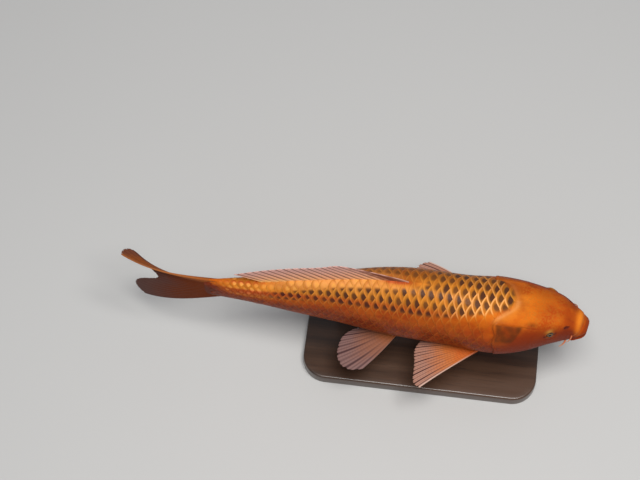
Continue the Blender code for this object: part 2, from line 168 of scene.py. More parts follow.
def make_piece(name: str, points: np.ndarray, quads: np.ndarray, material: bpy.types.Material,
               marks: Optional[Dict[str, np.ndarray]] = None, bake: Optional[np.ndarray] = None,
               caps: Sequence[Sequence[int]] = ()) -> bpy.types.Object:
    """Puts a worked-out surface into a smooth mesh object, its faces turned outwards.

    Args:
        name: the object's name.
        points: vertices in metres, one row each.
        quads: four vertex numbers a face.
        material: the finish.
        marks: per-vertex numbers or vectors that the finish reads, by attribute name.
        bake: per-vertex places on the OFBake map, where the piece has one.
        caps: rows of vertex numbers, each closed with one flat many-sided face that turns as the quads do.

    Returns:
        The new object.
    """
    if volume_sign(points, quads) < 0:
        quads = quads[:, ::-1]
        caps = [list(cap)[::-1] for cap in caps]
    loops = np.concatenate([quads.ravel()] + [np.asarray(cap) for cap in caps]).astype(np.int32)
    lengths = np.concatenate([np.full(len(quads), 4), [len(cap) for cap in caps]]).astype(np.int32)
    starts = np.concatenate([[0], np.cumsum(lengths)[:-1]]).astype(np.int32)
    mesh = bpy.data.meshes.new(name)
    mesh.vertices.add(len(points))
    mesh.vertices.foreach_set("co", np.ascontiguousarray(points, np.float32).ravel())
    mesh.loops.add(len(loops))
    mesh.loops.foreach_set("vertex_index", loops)
    mesh.polygons.add(len(starts))
    mesh.polygons.foreach_set("loop_start", starts)
    mesh.update(calc_edges=True)
    mesh.shade_smooth()
    for mark, values in (marks or {}).items():
        vector = values.ndim == 2
        layer = mesh.attributes.new(mark, "FLOAT_VECTOR" if vector else "FLOAT", "POINT")
        layer.data.foreach_set("vector" if vector else "value",
                               np.ascontiguousarray(values, np.float32).ravel())
    if bake is not None:
        layer = mesh.uv_layers.new(name="OFBake")
        layer.uv.foreach_set("vector", np.ascontiguousarray(bake[loops], np.float32).ravel())
    mesh.materials.append(material)
    made = bpy.data.objects.new(name, mesh)
    bpy.context.scene.collection.objects.link(made)
    triangles = int(2 * len(quads) + sum(len(cap) - 2 for cap in caps))
    LOG.info("%s: %d vertices, %d triangles", name, len(points), triangles)
    return made


def make_rings(name: str, points: np.ndarray, material: bpy.types.Material,
               marks: Optional[Dict[str, np.ndarray]] = None) -> bpy.types.Object:
    """A closed piece from rings of points, one ring a row, with a flat cap on the first and the last.

    Args:
        name: the object's name.
        points: places in metres by ring and by turn.
        material: the finish.
        marks: per-vertex numbers or vectors that the finish reads, by attribute name.

    Returns:
        The new object.
    """
    rings, around = points.shape[:2]
    first = list(range(around))[::-1]
    last = [(rings - 1) * around + k for k in range(around)]
    quads = grid_quads(rings, around, wrap=True)
    return make_piece(name, points.reshape(-1, 3), quads, material, marks, caps=(first, last))


def full_turn(steps: int) -> np.ndarray:
    """Angles once round, in radians, without the last."""
    return np.linspace(0.0, 2 * math.pi, steps, endpoint=False)


def dress(piece: bpy.types.Object, slot: str, *nodes: str) -> None:
    """Rides the piece on the body and lets it stand for frame nodes.

    Args:
        piece: the finished object.
        slot: the record's material slot; not used.
        nodes: the frame nodes that it replaces.
    """
    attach(piece, BODY)
    if nodes:
        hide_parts(*nodes)


# --------------------------------------------------------------------------- the fish's form


@dataclass(frozen=True)
class FishForm:
    """The carp's spine and its rings, which every piece of flesh is worked out from.

    Each line gives a ring u: it lies at t, reaches top, bottom and half up, down and sideways from height
    mid, its sides lie sweep behind its middle, and its upper half is a superellipse of power crown. Past
    u = 1 the rings thin and lower over tail_round and close the tail's root.
    """

    standard_length: float = 0.450
    axis_height: float = 0.128
    balance_t: float = 0.43
    corner_drop: float = 0.35
    belly_power: float = 2.15
    tail_round: float = 0.030
    tail_thinning: float = 0.985
    tail_lowering: float = 0.14
    heading: Stations = (
        (0.0, -11.0), (0.08, -2.4), (0.16, 5.0), (0.3, -1.0), (0.5, -0.3), (0.7, 2.2), (0.9, 2.0),
        (1.0, 2.5), (1.1, -5.0), (1.2, -22.0), (1.3, -42.0),
    )
    lines: Stations = (
        # u      t      top     bottom  half    mid     sweep  crown
        (-0.060, 0.0180, 0.0010, 0.0010, 0.0125, -0.013, 0.006, 2.1),
        (-0.045, 0.0080, 0.0018, 0.0018, 0.0230, -0.013, 0.022, 2.1),
        (-0.030, 0.0010, 0.0040, 0.0040, 0.0300, -0.013, 0.032, 2.1),
        (-0.015, 0.0005, 0.0140, 0.0130, 0.0355, -0.012, 0.034, 2.1),
        (0.000, 0.0070, 0.0230, 0.0205, 0.0385, -0.011, 0.031, 2.1),
        (0.015, 0.0150, 0.0295, 0.0250, 0.0410, -0.008, 0.024, 2.2),
        (0.045, 0.0420, 0.0470, 0.0390, 0.0470, -0.002, 0.008, 2.4),
        (0.070, 0.0680, 0.0620, 0.0480, 0.0570, 0.001, 0.001, 2.6),
        (0.110, 0.1100, 0.0735, 0.0610, 0.0725, 0.003, 0.000, 2.6),
        (0.170, 0.1700, 0.0905, 0.0790, 0.0910, 0.003, 0.000, 2.4),
        (0.240, 0.2400, 0.1090, 0.0970, 0.0995, 0.003, 0.000, 2.2),
        (0.330, 0.3300, 0.1250, 0.1130, 0.0900, 0.003, 0.000, 2.1),
        (0.440, 0.4400, 0.1320, 0.1210, 0.0855, 0.003, 0.000, 2.1),
        (0.550, 0.5500, 0.1270, 0.1190, 0.0765, 0.003, 0.000, 2.1),
        (0.670, 0.6700, 0.1070, 0.1030, 0.0565, 0.002, 0.000, 2.1),
        (0.790, 0.7900, 0.0770, 0.0770, 0.0420, 0.001, 0.000, 2.1),
        (0.890, 0.8900, 0.0530, 0.0560, 0.0290, 0.000, 0.000, 2.1),
        (0.960, 0.9600, 0.0470, 0.0530, 0.0180, 0.000, 0.000, 2.1),
        (1.000, 1.0000, 0.0460, 0.0550, 0.0085, 0.000, 0.000, 2.1),
    )

    @cached_property
    def spine(self) -> Tuple[np.ndarray, ...]:
        """Stations with their plan x and y and heading: the sums of the heading's cosine and sine."""
        t = np.linspace(0.0, 1.3, 1301)
        heading = np.radians(spline(self.heading, 1, t))
        middle = (heading[1:] + heading[:-1]) / 2
        step = t[1] - t[0]
        x = -np.concatenate([[0.0], np.cumsum(np.cos(middle) * step)])
        y = -np.concatenate([[0.0], np.cumsum(np.sin(middle) * step)])
        return t, x, y, heading

    def place(self, t: np.ndarray, y: np.ndarray, z: np.ndarray) -> np.ndarray:
        """Fish coordinates to metres, y square to the spine and the balance point over the origin."""
        stations, spine_x, spine_y, headings = self.spine
        t, y, z = np.broadcast_arrays(np.asarray(t, float), np.asarray(y, float), np.asarray(z, float))
        heading = np.interp(t, stations, headings)
        x0 = np.interp(t, stations, spine_x) - np.interp(self.balance_t, stations, spine_x)
        y0 = np.interp(t, stations, spine_y) - np.interp(self.balance_t, stations, spine_y)
        x = x0 - np.sin(heading) * y
        across = y0 + np.cos(heading) * y
        size = self.standard_length
        return stacked(x * size, across * size, z * size + self.axis_height)

    def ring(self, u: np.ndarray, angle: np.ndarray) -> Coordinates:
        """Fish coordinates on the body: a superellipse ring swept back at its sides as cosine^4.

        Args:
            u: which ring; past 1 the rings round off over the root of the tail fin.
            angle: 0 at the fish's left, a quarter turn on the back, in radians.

        Returns:
            t, y and z.
        """
        names = (spline(self.lines, column, u) for column in range(1, 8))
        t, top, bottom, half, mid, sweep, crown = names
        past = np.clip((u - 1.0) / self.tail_round, 0.0, 1.0)
        t = t + past * self.tail_round
        half = half * np.sqrt(1.0 - self.tail_thinning * past**2)
        low = 1.0 - self.tail_lowering * past**2
        top, bottom = top * low, bottom * low
        cosine, sine = np.cos(angle), np.sin(angle)
        reach = np.where(sine >= 0, top, bottom)
        power = 2 / np.where(sine >= 0, crown, self.belly_power)
        y = half * np.sign(cosine) * np.abs(cosine) ** power
        swept = sweep * cosine**4
        z = mid + reach * np.sign(sine) * np.abs(sine) ** power - self.corner_drop * swept
        return t + swept, y, z

    def belly_height(self, t: np.ndarray, y: np.ndarray) -> np.ndarray:
        """How far up the belly's underside is, in metres, at t and y."""
        bottom, half, mid = (spline(self.lines, column, t) for column in (3, 4, 5))
        inside = np.clip(1.0 - np.abs(y / half) ** self.belly_power, 0.0, 1.0)
        return (mid - bottom * inside ** (1.0 / self.belly_power)) * self.standard_length + self.axis_height


@dataclass(frozen=True)
class SkinMap:
    """The body's surface as a table over t and tau, with tau an even share of each ring's length."""

    form: FishForm
    first_t: float = 0.150
    last_t: float = 1.030
    rows: int = 300
    columns: int = 241
    ring_steps: int = 241
    lap: float = 1.2

    @cached_property
    def tables(self) -> Tuple[np.ndarray, np.ndarray]:
        """Places and outward directions at every t and tau of the table."""
        u = np.linspace(self.first_t, self.last_t, self.rows)[:, None]
        fine = np.linspace(math.pi / 2, -math.pi / 2, self.ring_steps)[None, :]
        _, y, z = self.form.ring(u, fine)
        length = np.cumsum(np.hypot(np.diff(y, axis=1), np.diff(z, axis=1)), axis=1)
        share = np.concatenate([np.zeros_like(u), length], axis=1) / length[:, -1:]
        tau = np.linspace(-self.lap, self.lap, self.columns)
        wrapped = (tau + 1.0) % 2.0 - 1.0
        angle = np.stack([np.interp(np.abs(wrapped), row, fine[0]) for row in share])
        angle = np.where(wrapped < 0, math.pi - angle, angle)
        t, y, z = self.form.ring(u, angle)
        places = self.form.place(t, y, z)
        outward = unit(np.cross(np.gradient(places, axis=1), np.gradient(places, axis=0)))
        if outward[self.rows // 2, self.columns // 2, 2] < 0:
            outward = -outward
        return places, outward

    def sample(self, t: np.ndarray, tau: np.ndarray) -> Tuple[np.ndarray, np.ndarray]:
        """Place and outward direction at t and tau, read between the table's four nearest entries.

        Args:
            t: stations along the body.
            tau: signed shares of the half ring, from the back's ridge.

        Returns:
            Places in metres and unit directions.
        """
        places, outward = self.tables
        i = np.clip((t - self.first_t) / (self.last_t - self.first_t), 0, 1) * (self.rows - 1)
        k = np.clip((tau + self.lap) / (2 * self.lap), 0, 1) * (self.columns - 1)
        i0 = np.minimum(i.astype(int), self.rows - 2)
        k0 = np.minimum(k.astype(int), self.columns - 2)
        row_part, column_part = (i - i0)[..., None], (k - k0)[..., None]

        def between(table: np.ndarray) -> np.ndarray:
            """The table's value at each wanted place."""
            near = table[i0, k0] * (1 - column_part) + table[i0, k0 + 1] * column_part
            far = table[i0 + 1, k0] * (1 - column_part) + table[i0 + 1, k0 + 1] * column_part
            return near * (1 - row_part) + far * row_part

        return between(places), unit(between(outward))


@dataclass(frozen=True)
class Markings:
    """Where the fish's colours lie, for skin and scales alike, by t and by share down from the back."""

    scale_front: Stations = (
        # share down, t of the foremost scales
        (0.00, 0.198), (0.05, 0.205), (0.10, 0.223), (0.16, 0.246), (0.22, 0.260), (0.30, 0.265),
        (0.45, 0.263), (0.60, 0.262), (0.74, 0.268), (0.88, 0.280), (1.00, 0.290),
    )
    core_limit: Stations = (
        # t, share down to which the scales have dark middles
        (0.18, 0.06), (0.25, 0.115), (0.30, 0.165), (0.35, 0.215), (0.40, 0.250), (0.50, 0.262),
        (0.60, 0.270), (0.70, 0.275), (0.80, 0.310), (0.90, 0.360), (1.00, 0.400),
    )
    ridge_band: Stations = (
        # t, share down to which the ridge is plain gold
        (0.18, -0.08), (0.36, -0.07), (0.42, -0.01), (0.46, 0.035), (0.50, 0.062), (0.60, 0.080),
        (0.70, 0.105), (0.80, 0.165), (0.90, 0.250), (1.00, 0.320),
    )

    def front(self, share: np.ndarray, left: np.ndarray) -> np.ndarray:
        """The t at which the scales start: a little further forward on the left shoulder."""
        share = np.abs(share)
        return spline(self.scale_front, 1, share) - 0.030 * left * bell(share, 0.16, 0.08)

    def below_cores(self, t: np.ndarray, share: np.ndarray, left: np.ndarray) -> np.ndarray:
        """How far down a place is from the lowest dark scale, as a share; they reach further on the left."""
        return share - spline(self.core_limit, 1, t) - 0.13 * left * smooth(0.42, 0.30, t)

    def tones(self, t: np.ndarray, share: np.ndarray, left: np.ndarray) -> np.ndarray:
        """How golden, how red and how pale the body is at a place.

        Gold covers the back down to the lowest dark scales and glows round their front, partly the back's own
        gold and partly painted light on the top of the body. Red deepens down the flank, partly the flank's
        own red and partly painted shade; it darkens the left side's back and shoulder as painted shade on the
        side away from the light, darkens a spot on the ridge near t 0.51, and passes 1 at the tail's root, as
        painted shade there. The belly's middle and a line round the foremost scales are pale, and the rear
        ridge carries a painted highlight.

        Args:
            t: stations along the body.
            share: share down from the back's ridge, unsigned.
            left: 1 on the fish's left, 0 on its right.

        Returns:
            The three strengths along a last axis.
        """
        ahead = self.front(share, left) - t
        scaled = smooth(0.02, -0.01, ahead)
        # Gold on the back and round the scales' front: partly the back's own gold and partly painted light on
        # the top of the body.
        collar = 0.50 * bell(ahead, 0.012, 0.020) * smooth(0.30, 0.18, share)
        gold = scaled * smooth(0.055, -0.10, self.below_cores(t, share, left)) * smooth(1.02, 0.91, t)
        # Red rises down the flank: partly the flank's own red and partly painted shade on the lower flank,
        # which faces away from the light.
        flank = 0.55 * smooth(0.13, 0.30, share) + 0.45 * smooth(0.32, 0.52, share)
        # Painted shade: the left side's back and shoulder, which face away from the light, turn darker red.
        darkening = left * smooth(0.02, 0.10, share) * smooth(0.72, 0.60, t) * (0.30 + 0.24 * scaled)
        darkening = darkening + 0.40 * left * bell(t, 0.51, 0.060) * smooth(0.22, 0.08, share)
        # A darker red spot on the ridge near t 0.51, on both sides.
        darkening = darkening + 0.45 * bell(t, 0.512, 0.040) * smooth(0.045, 0.0, share)
        red = np.maximum(flank * smooth(0.02, 0.12, t), darkening)
        # Painted shade at the tail's root: red passes 1 there, where the colour turns dark.
        red = red + 0.60 * smooth(0.960, 1.010, t) * smooth(0.04, 0.28, share)
        red = red + 0.26 * smooth(0.80, 0.90, t) * smooth(0.14, 0.0, share)
        # Painted highlight along the rear ridge, where it catches the light.
        ridge_highlight = 0.75 * bell(share, 0.02, 0.09) * smooth(0.46, 0.64, t) * smooth(0.90, 0.74, t)
        pale = np.maximum(0.55 * smooth(0.84, 1.0, share) * smooth(0.02, 0.14, t), ridge_highlight)
        line = 0.38 * bell(ahead, 0.003, 0.007) * smooth(0.24, 0.15, share) * (1.0 - 0.7 * left)
        pale = np.maximum(pale, line)
        return stacked(np.maximum(gold, collar), red, pale)


# --------------------------------------------------------------------------- finishes


class Nodes:
    """Short calls that add and join the shader nodes of one material."""

    def __init__(self, name: str) -> None:
        """Starts a material with a Principled BSDF.

        Args:
            name: the material's name.
        """
        self.material = bpy.data.materials.new(name)
        self.material.use_nodes = True
        self.tree = self.material.node_tree
        self.shader = self.tree.nodes["Principled BSDF"]

    def put(self, socket: bpy.types.NodeSocket, value: object) -> None:
        """Joins an output to the socket, or sets the socket's own value."""
        if isinstance(value, bpy.types.NodeSocket):
            self.tree.links.new(value, socket)
        elif isinstance(value, tuple) and len(value) == 3 and len(socket.default_value) == 4:
            socket.default_value = (*value, 1.0)
        else:
            socket.default_value = value

    def add(self, kind: str, inputs: Optional[Dict[object, object]] = None,
            **settings: object) -> bpy.types.Node:
        """A new node with its settings and inputs."""
        node = self.tree.nodes.new(kind)
        for key, value in settings.items():
            setattr(node, key, value)
        for key, value in (inputs or {}).items():
            self.put(node.inputs[key], value)
        return node

    def places(self) -> bpy.types.NodeSocket:
        """Object coordinates, in metres."""
        return self.add("ShaderNodeTexCoord").outputs["Object"]

    def mark(self, name: str) -> bpy.types.NodeSocket:
        """A per-vertex number by its attribute name."""
        return self.add("ShaderNodeAttribute", attribute_name=name).outputs["Fac"]

    def marks(self, name: str) -> Tuple[bpy.types.NodeSocket, ...]:
        """The three numbers of a per-vertex vector."""
        vector = self.add("ShaderNodeAttribute", attribute_name=name).outputs["Vector"]
        parts = self.add("ShaderNodeSeparateXYZ", {0: vector})
        return parts.outputs[0], parts.outputs[1], parts.outputs[2]

    def math(self, operation: str, first: object, second: object = 0.0) -> bpy.types.NodeSocket:
        """One operation on one or two values."""
        return self.add("ShaderNodeMath", {0: first, 1: second}, operation=operation).outputs[0]

    def plus(self, first: object, second: object) -> bpy.types.NodeSocket:
        """The sum of two values."""
        return self.math("ADD", first, second)

    def times(self, first: object, second: object) -> bpy.types.NodeSocket:
        """The product of two values."""
        return self.math("MULTIPLY", first, second)

    def step(self, value: object, low: float, high: float) -> bpy.types.NodeSocket:
        """0 below low and 1 above high, with a smooth rise; low may be the larger."""
        if low < high:
            ends = {"From Min": low, "From Max": high, "To Min": 0.0, "To Max": 1.0}
        else:
            ends = {"From Min": high, "From Max": low, "To Min": 1.0, "To Max": 0.0}
        ends["Value"] = value
        return self.add("ShaderNodeMapRange", ends, interpolation_type="SMOOTHSTEP").outputs["Result"]

    def noise(self, scale: float, detail: float = 3.0,
              stretch: Colour = (1.0, 1.0, 1.0)) -> bpy.types.NodeSocket:
        """Cloudy noise with features about 1 / scale metres across, drawn out where stretch is below 1."""
        drawn = self.add("ShaderNodeMapping", {"Vector": self.places(), "Scale": stretch}).outputs[0]
        made = self.add("ShaderNodeTexNoise", {"Vector": drawn, "Scale": scale, "Detail": detail})
        return made.outputs["Fac"]

    def cells(self, scale: float) -> bpy.types.NodeSocket:
        """Distance to the edge of cells about 1 / scale metres across."""
        made = self.add("ShaderNodeTexVoronoi", {"Vector": self.places(), "Scale": scale},
                        feature="DISTANCE_TO_EDGE")
        return made.outputs["Distance"]

    def mix(self, share: object, low: object, high: object, blend: str = "MIX") -> bpy.types.NodeSocket:
        """From the low colour to the high one by a share."""
        node = self.add("ShaderNodeMix", data_type="RGBA", blend_type=blend)
        self.put(node.inputs["Factor"], share)
        self.put(node.inputs[6], low)
        self.put(node.inputs[7], high)
        return node.outputs[2]

    def lay(self, colour: object, over: object, *shares: object) -> bpy.types.NodeSocket:
        """A second colour laid over the first by the product of one or two shares."""
        share = self.times(*shares) if len(shares) == 2 else shares[0]
        return self.mix(share, colour, over)

    def bump(self, height: object, distance: float, strength: float,
             under: Optional[bpy.types.NodeSocket] = None) -> bpy.types.NodeSocket:
        """A normal bent by a height; under is a coarser bump to lie on."""
        node = self.add("ShaderNodeBump", {"Height": height, "Strength": strength, "Distance": distance})
        if under is not None:
            self.put(node.inputs["Normal"], under)
        return node.outputs[0]

    def finish(self, colour: object, roughness: object, **sockets: object) -> bpy.types.Material:
        """Sets the shader's colour, roughness and named sockets, with _ for a space.

        Args:
            colour: the base colour or its output.
            roughness: the roughness or its output.
            sockets: further sockets, such as Normal or Coat_Weight.

        Returns:
            The finished material.
        """
        self.put(self.shader.inputs["Base Color"], colour)
        self.put(self.shader.inputs["Roughness"], roughness)
        for name, value in sockets.items():
            self.put(self.shader.inputs[name.replace("_", " ")], value)
        return self.material


@dataclass(frozen=True)
class BodyColours:
    """The colours that skin and scales share; the dark one at the tail's root is painted shade."""

    orange: Colour = (0.640, 0.146, 0.009)
    orange_deep: Colour = (0.460, 0.070, 0.006)
    gold: Colour = (0.450, 0.132, 0.014)
    gold_bright: Colour = (0.680, 0.218, 0.024)
    red: Colour = (0.250, 0.034, 0.005)
    red_deep: Colour = (0.150, 0.018, 0.004)
    pale: Colour = (0.770, 0.350, 0.105)
    dusk: Colour = (0.110, 0.019, 0.005)

    def ground(self, nodes: Nodes) -> bpy.types.NodeSocket:
        """The body's colour from its tones mark, with clouds about 18 and 4 mm across."""
        gold, red, pale = nodes.marks("tones")
        broad = nodes.noise(55.0, 3.0, (0.7, 1.0, 1.0))
        fine = nodes.noise(260.0, 2.0)
        orange = nodes.mix(nodes.step(broad, 0.40, 0.66), self.orange, self.orange_deep)
        golden = nodes.mix(nodes.step(broad, 0.66, 0.38), self.gold, self.gold_bright)
        reds = nodes.mix(nodes.step(fine, 0.36, 0.70), self.red, self.red_deep)
        # Gold dulls where red rises down the flank, partly as painted shade.
        golden = nodes.mix(nodes.step(red, 0.0, 0.40), golden, self.gold)
        colour = nodes.mix(gold, orange, golden)
        colour = nodes.mix(red, colour, reds)
        # Painted shade at the tail's root, where red passes 1.
        colour = nodes.mix(nodes.step(red, 1.0, 1.7), colour, self.dusk)
        return nodes.mix(pale, colour, self.pale)


@dataclass(frozen=True)
class SkinFinish:
    """Wet, bare skin: orange and mottled on the crown, redder and darker on the cheeks, partly as painted
    shade, golden on lips and snout, with painted shade inside the mouth, in the nostrils and round the eyes.
    """

    colours: BodyColours
    olive: Colour = (0.500, 0.150, 0.015)
    lip_gold: Colour = (0.800, 0.225, 0.018)
    cheek_red: Colour = (0.205, 0.026, 0.006)
    shade: Colour = (0.095, 0.026, 0.007)
    brow: Colour = (0.340, 0.150, 0.026)
    cavity: Colour = (0.070, 0.012, 0.010)

    def material(self) -> bpy.types.Material:
        """The skin's material."""
        nodes = Nodes("wet_skin")
        colour = self.colours.ground(nodes)
        crown, lips, cheeks = nodes.marks("face")
        patch, brow, cavity = nodes.marks("spots")
        mottle = nodes.noise(150.0, 4.0)
        grain = nodes.noise(430.0, 3.0)
        speck = nodes.noise(700.0, 2.0)
        blotch = nodes.times(crown, nodes.step(grain, 0.40, 0.64))
        colour = nodes.lay(colour, self.olive, blotch, 0.60)
        # Cheek red, partly the cheeks' own colour and partly painted shade.
        colour = nodes.lay(colour, self.cheek_red, cheeks)
        colour = nodes.lay(colour, self.lip_gold, lips)
        colour = nodes.lay(colour, self.brow, brow)
        # Dark patches on the gill cover and temple, with painted shade along the gill slit.
        colour = nodes.lay(colour, self.shade, patch, nodes.step(mottle, 1.30, 0.10))
        # Painted shade in recesses: inside the mouth, in the nostril pits and round the eyes' corners and
        # underside.
        colour = nodes.lay(colour, self.cavity, cavity)
        colour = nodes.lay(colour, self.colours.red_deep, nodes.step(speck, 0.58, 0.76), 0.20)
        pores = nodes.step(nodes.cells(900.0), 0.0, 0.18)
        normal = nodes.bump(mottle, 0.0006, 0.25)
        normal = nodes.bump(pores, 0.00012, 0.30, normal)
        roughness = nodes.plus(nodes.times(mottle, 0.20), 0.30)
        return nodes.finish(colour, roughness, Normal=normal, Specular_IOR_Level=0.035, Coat_Weight=0.02,
                            Coat_Roughness=0.12)


@dataclass(frozen=True)
class ScaleFinish:
    """Scales with a small dark middle, an olive-gold field and a pale free edge, which fade down the flank.

    Each span gives where a layer starts and where it is full: core, halo, the painted glint and the darker
    ring round it by distance from the dark middle in its own radii, and rim by distance from the free edge in
    steps of the lattice. The glints are painted highlights on scales of the tail stalk and the ridge.
    """

    colours: BodyColours
    dark: Colour = (0.085, 0.030, 0.014)
    olive: Colour = (0.340, 0.125, 0.014)
    edge_pale: Colour = (0.840, 0.370, 0.105)
    edge_gold: Colour = (0.620, 0.240, 0.034)
    pore_dark: Colour = (0.120, 0.030, 0.010)
    glitter: Colour = (0.800, 0.360, 0.070)
    rust: Colour = (0.380, 0.110, 0.012)
    warm_filter: Colour = (0.920, 0.500, 0.750)
    core_length: float = 0.325
    core_width: float = 0.42
    core_widening: float = 0.16
    core_span: Span = (1.25, 0.62)
    halo_span: Span = (2.15, 0.95)
    glitter_span: Span = (1.15, 0.5)
    rust_span: Span = (0.9, 1.7)
    rim_span: Span = (0.24, 0.09)

    def material(self) -> bpy.types.Material:
        """The scales' material, which reads each scale's own along, distance to its edge and down."""
        nodes = Nodes("scale_coat")
        ground = self.colours.ground(nodes)
        along, behind, down = nodes.marks("scale_place")
        dark, net, tone = nodes.marks("scale_marks")
        pore, glint_mask, skew = nodes.marks("scale_extra")
        wobble = nodes.noise(420.0, 2.0)
        shift = nodes.times(nodes.math("SUBTRACT", wobble, 0.5), 0.34)
        slanted = nodes.plus(along, nodes.times(down, 0.22))
        centred = nodes.plus(slanted, nodes.plus(nodes.times(skew, 0.14), 0.09))
        length = nodes.math("DIVIDE", centred, self.core_length)
        reach = nodes.plus(nodes.times(tone, self.core_widening), self.core_width)
        width = nodes.math("DIVIDE", down, reach)
        away = nodes.plus(nodes.times(length, length), nodes.times(width, width))
        away = nodes.plus(nodes.math("SQRT", away), shift)
        colour = nodes.lay(ground, self.colours.orange_deep, nodes.step(tone, 0.55, 1.0), 0.30)
        colour = nodes.lay(colour, self.olive, nodes.step(away, *self.halo_span), nodes.times(dark, 0.90))
        colour = nodes.lay(colour, self.dark, nodes.step(away, *self.core_span), dark)
        # Painted highlights: a bright glint on chosen scales, with a darker ring round it.
        colour = nodes.lay(colour, self.rust, nodes.step(away, *self.rust_span), glint_mask)
        colour = nodes.lay(colour, self.glitter, nodes.step(away, *self.glitter_span), glint_mask)
        pale = nodes.mix(nodes.step(net, 0.45, 0.90), self.edge_gold, self.edge_pale)
        edge = nodes.plus(behind, nodes.times(shift, 0.15))
        colour = nodes.lay(colour, pale, nodes.step(edge, *self.rim_span), net)
        colour = nodes.mix(nodes.mark("scale_warmth"), colour, self.warm_filter, blend="MULTIPLY")
        beside = nodes.step(nodes.math("ABSOLUTE", down), 0.10, 0.04)
        ahead = nodes.math("ABSOLUTE", nodes.math("SUBTRACT", along, 0.15))
        hole = nodes.times(beside, nodes.step(ahead, 0.16, 0.08))
        colour = nodes.lay(colour, self.pore_dark, hole, pore)
        rings = nodes.math("SINE", nodes.times(along, 62.0))
        rays = nodes.math("SINE", nodes.times(down, 44.0))
        relief = nodes.plus(nodes.times(rings, 0.5), nodes.times(rays, 0.35))
        normal = nodes.bump(relief, 0.00004, 0.5)
        roughness = nodes.plus(nodes.times(wobble, 0.20), 0.28)
        return nodes.finish(colour, roughness, Normal=normal, Specular_IOR_Level=0.04, Coat_Weight=0.025,
                            Coat_Roughness=0.12)


@dataclass(frozen=True)
class FinFinish:
    """A fin: flesh-coloured root, paler towards the margin, with dark lines between its rays.

    A band along the leading rays can have its own colour; band_reach is the share of the rays it covers.
    """

    name: str
    root: Colour
    middle: Colour
    margin: Colour
    line: Colour
    lead: Colour
    root_reach: float
    line_from: float = 0.02
    line_start: float = 0.45
    line_strength: float = 1.0
    band: Optional[Colour] = None
    band_reach: float = 0.0

    def material(self) -> bpy.types.Material:
        """The fin's material, which reads each place along and between the rays from the mesh."""
        nodes = Nodes(self.name)
        run, gap, lead = nodes.marks("fin_place")
        branch, joint, share = nodes.marks("fin_rays")
        cloud = nodes.noise(120.0, 3.0)
        wander = nodes.times(nodes.math("SUBTRACT", cloud, 0.5), 0.30)
        reach = nodes.plus(run, wander)
        colour = nodes.mix(nodes.step(reach, 0.04, self.root_reach), self.root, self.middle)
        colour = nodes.mix(nodes.step(reach, 0.42, 0.95), colour, self.margin)
        if self.band is not None:
            place = nodes.plus(share, nodes.times(wander, 0.35))
            colour = nodes.lay(colour, self.band, nodes.step(place, self.band_reach, self.band_reach * 0.4))
            colour = nodes.lay(colour, self.margin, nodes.step(reach, 0.80, 1.0), 0.7)
        between = nodes.times(gap, nodes.step(run, self.line_from, self.line_start))
        colour = nodes.lay(colour, self.line, between, self.line_strength)
        colour = nodes.lay(colour, self.line, branch, 0.55 * self.line_strength)
        colour = nodes.lay(colour, self.line, nodes.step(nodes.math("SINE", joint), 0.80, 1.0), 0.20)
        colour = nodes.lay(colour, self.lead, lead)
        normal = nodes.bump(cloud, 0.0003, 0.3)
        return nodes.finish(colour, nodes.plus(nodes.times(cloud, 0.2), 0.34),
                            Normal=normal, Specular_IOR_Level=0.03)


@dataclass(frozen=True)
class EyeFinish:
    """A glossy eye: black pupil, a thin dull-gold ring, and a dark bronze iris with clouds.

    Each edge is a span of the polar share, which is 0 at the pupil's middle and 1 at the ball's back.
    """

    pupil: Colour = (0.004, 0.004, 0.006)
    ring: Colour = (0.300, 0.170, 0.050)
    iris: Colour = (0.100, 0.055, 0.024)
    cloud: Colour = (0.026, 0.020, 0.022)
    ring_edge: Span = (0.162, 0.138)
    pupil_edge: Span = (0.134, 0.120)
    iris_edge: Span = (0.24, 0.30)

    def material(self) -> bpy.types.Material:
        """The eye's material, which reads the polar share from the mesh."""
        nodes = Nodes("eye_gloss")
        polar = nodes.mark("polar")
        clouds = nodes.noise(520.0, 3.0)
        colour = nodes.mix(nodes.step(clouds, 0.38, 0.62), self.iris, self.cloud)
        colour = nodes.lay(colour, self.ring, nodes.step(polar, *self.ring_edge))
        colour = nodes.lay(colour, self.pupil, nodes.step(polar, *self.pupil_edge))
        colour = nodes.lay(colour, self.cloud, nodes.step(polar, *self.iris_edge))
        return nodes.finish(colour, 0.12, Specular_IOR_Level=0.22, Coat_Weight=0.30, Coat_Roughness=0.02)


@dataclass(frozen=True)
class BarbelFinish:
    """Soft orange feelers, paler at the tip."""

    root: Colour = (0.480, 0.110, 0.025)
    tip: Colour = (0.520, 0.270, 0.160)

    def material(self) -> bpy.types.Material:
        """The barbels' material."""
        nodes = Nodes("barbel_skin")
        colour = nodes.mix(nodes.step(nodes.mark("run"), 0.35, 1.0), self.root, self.tip)
        rings = nodes.math("SINE", nodes.times(nodes.mark("run"), 90.0))
        return nodes.finish(colour, 0.35, Normal=nodes.bump(rings, 0.00003, 0.4), Coat_Weight=0.2)


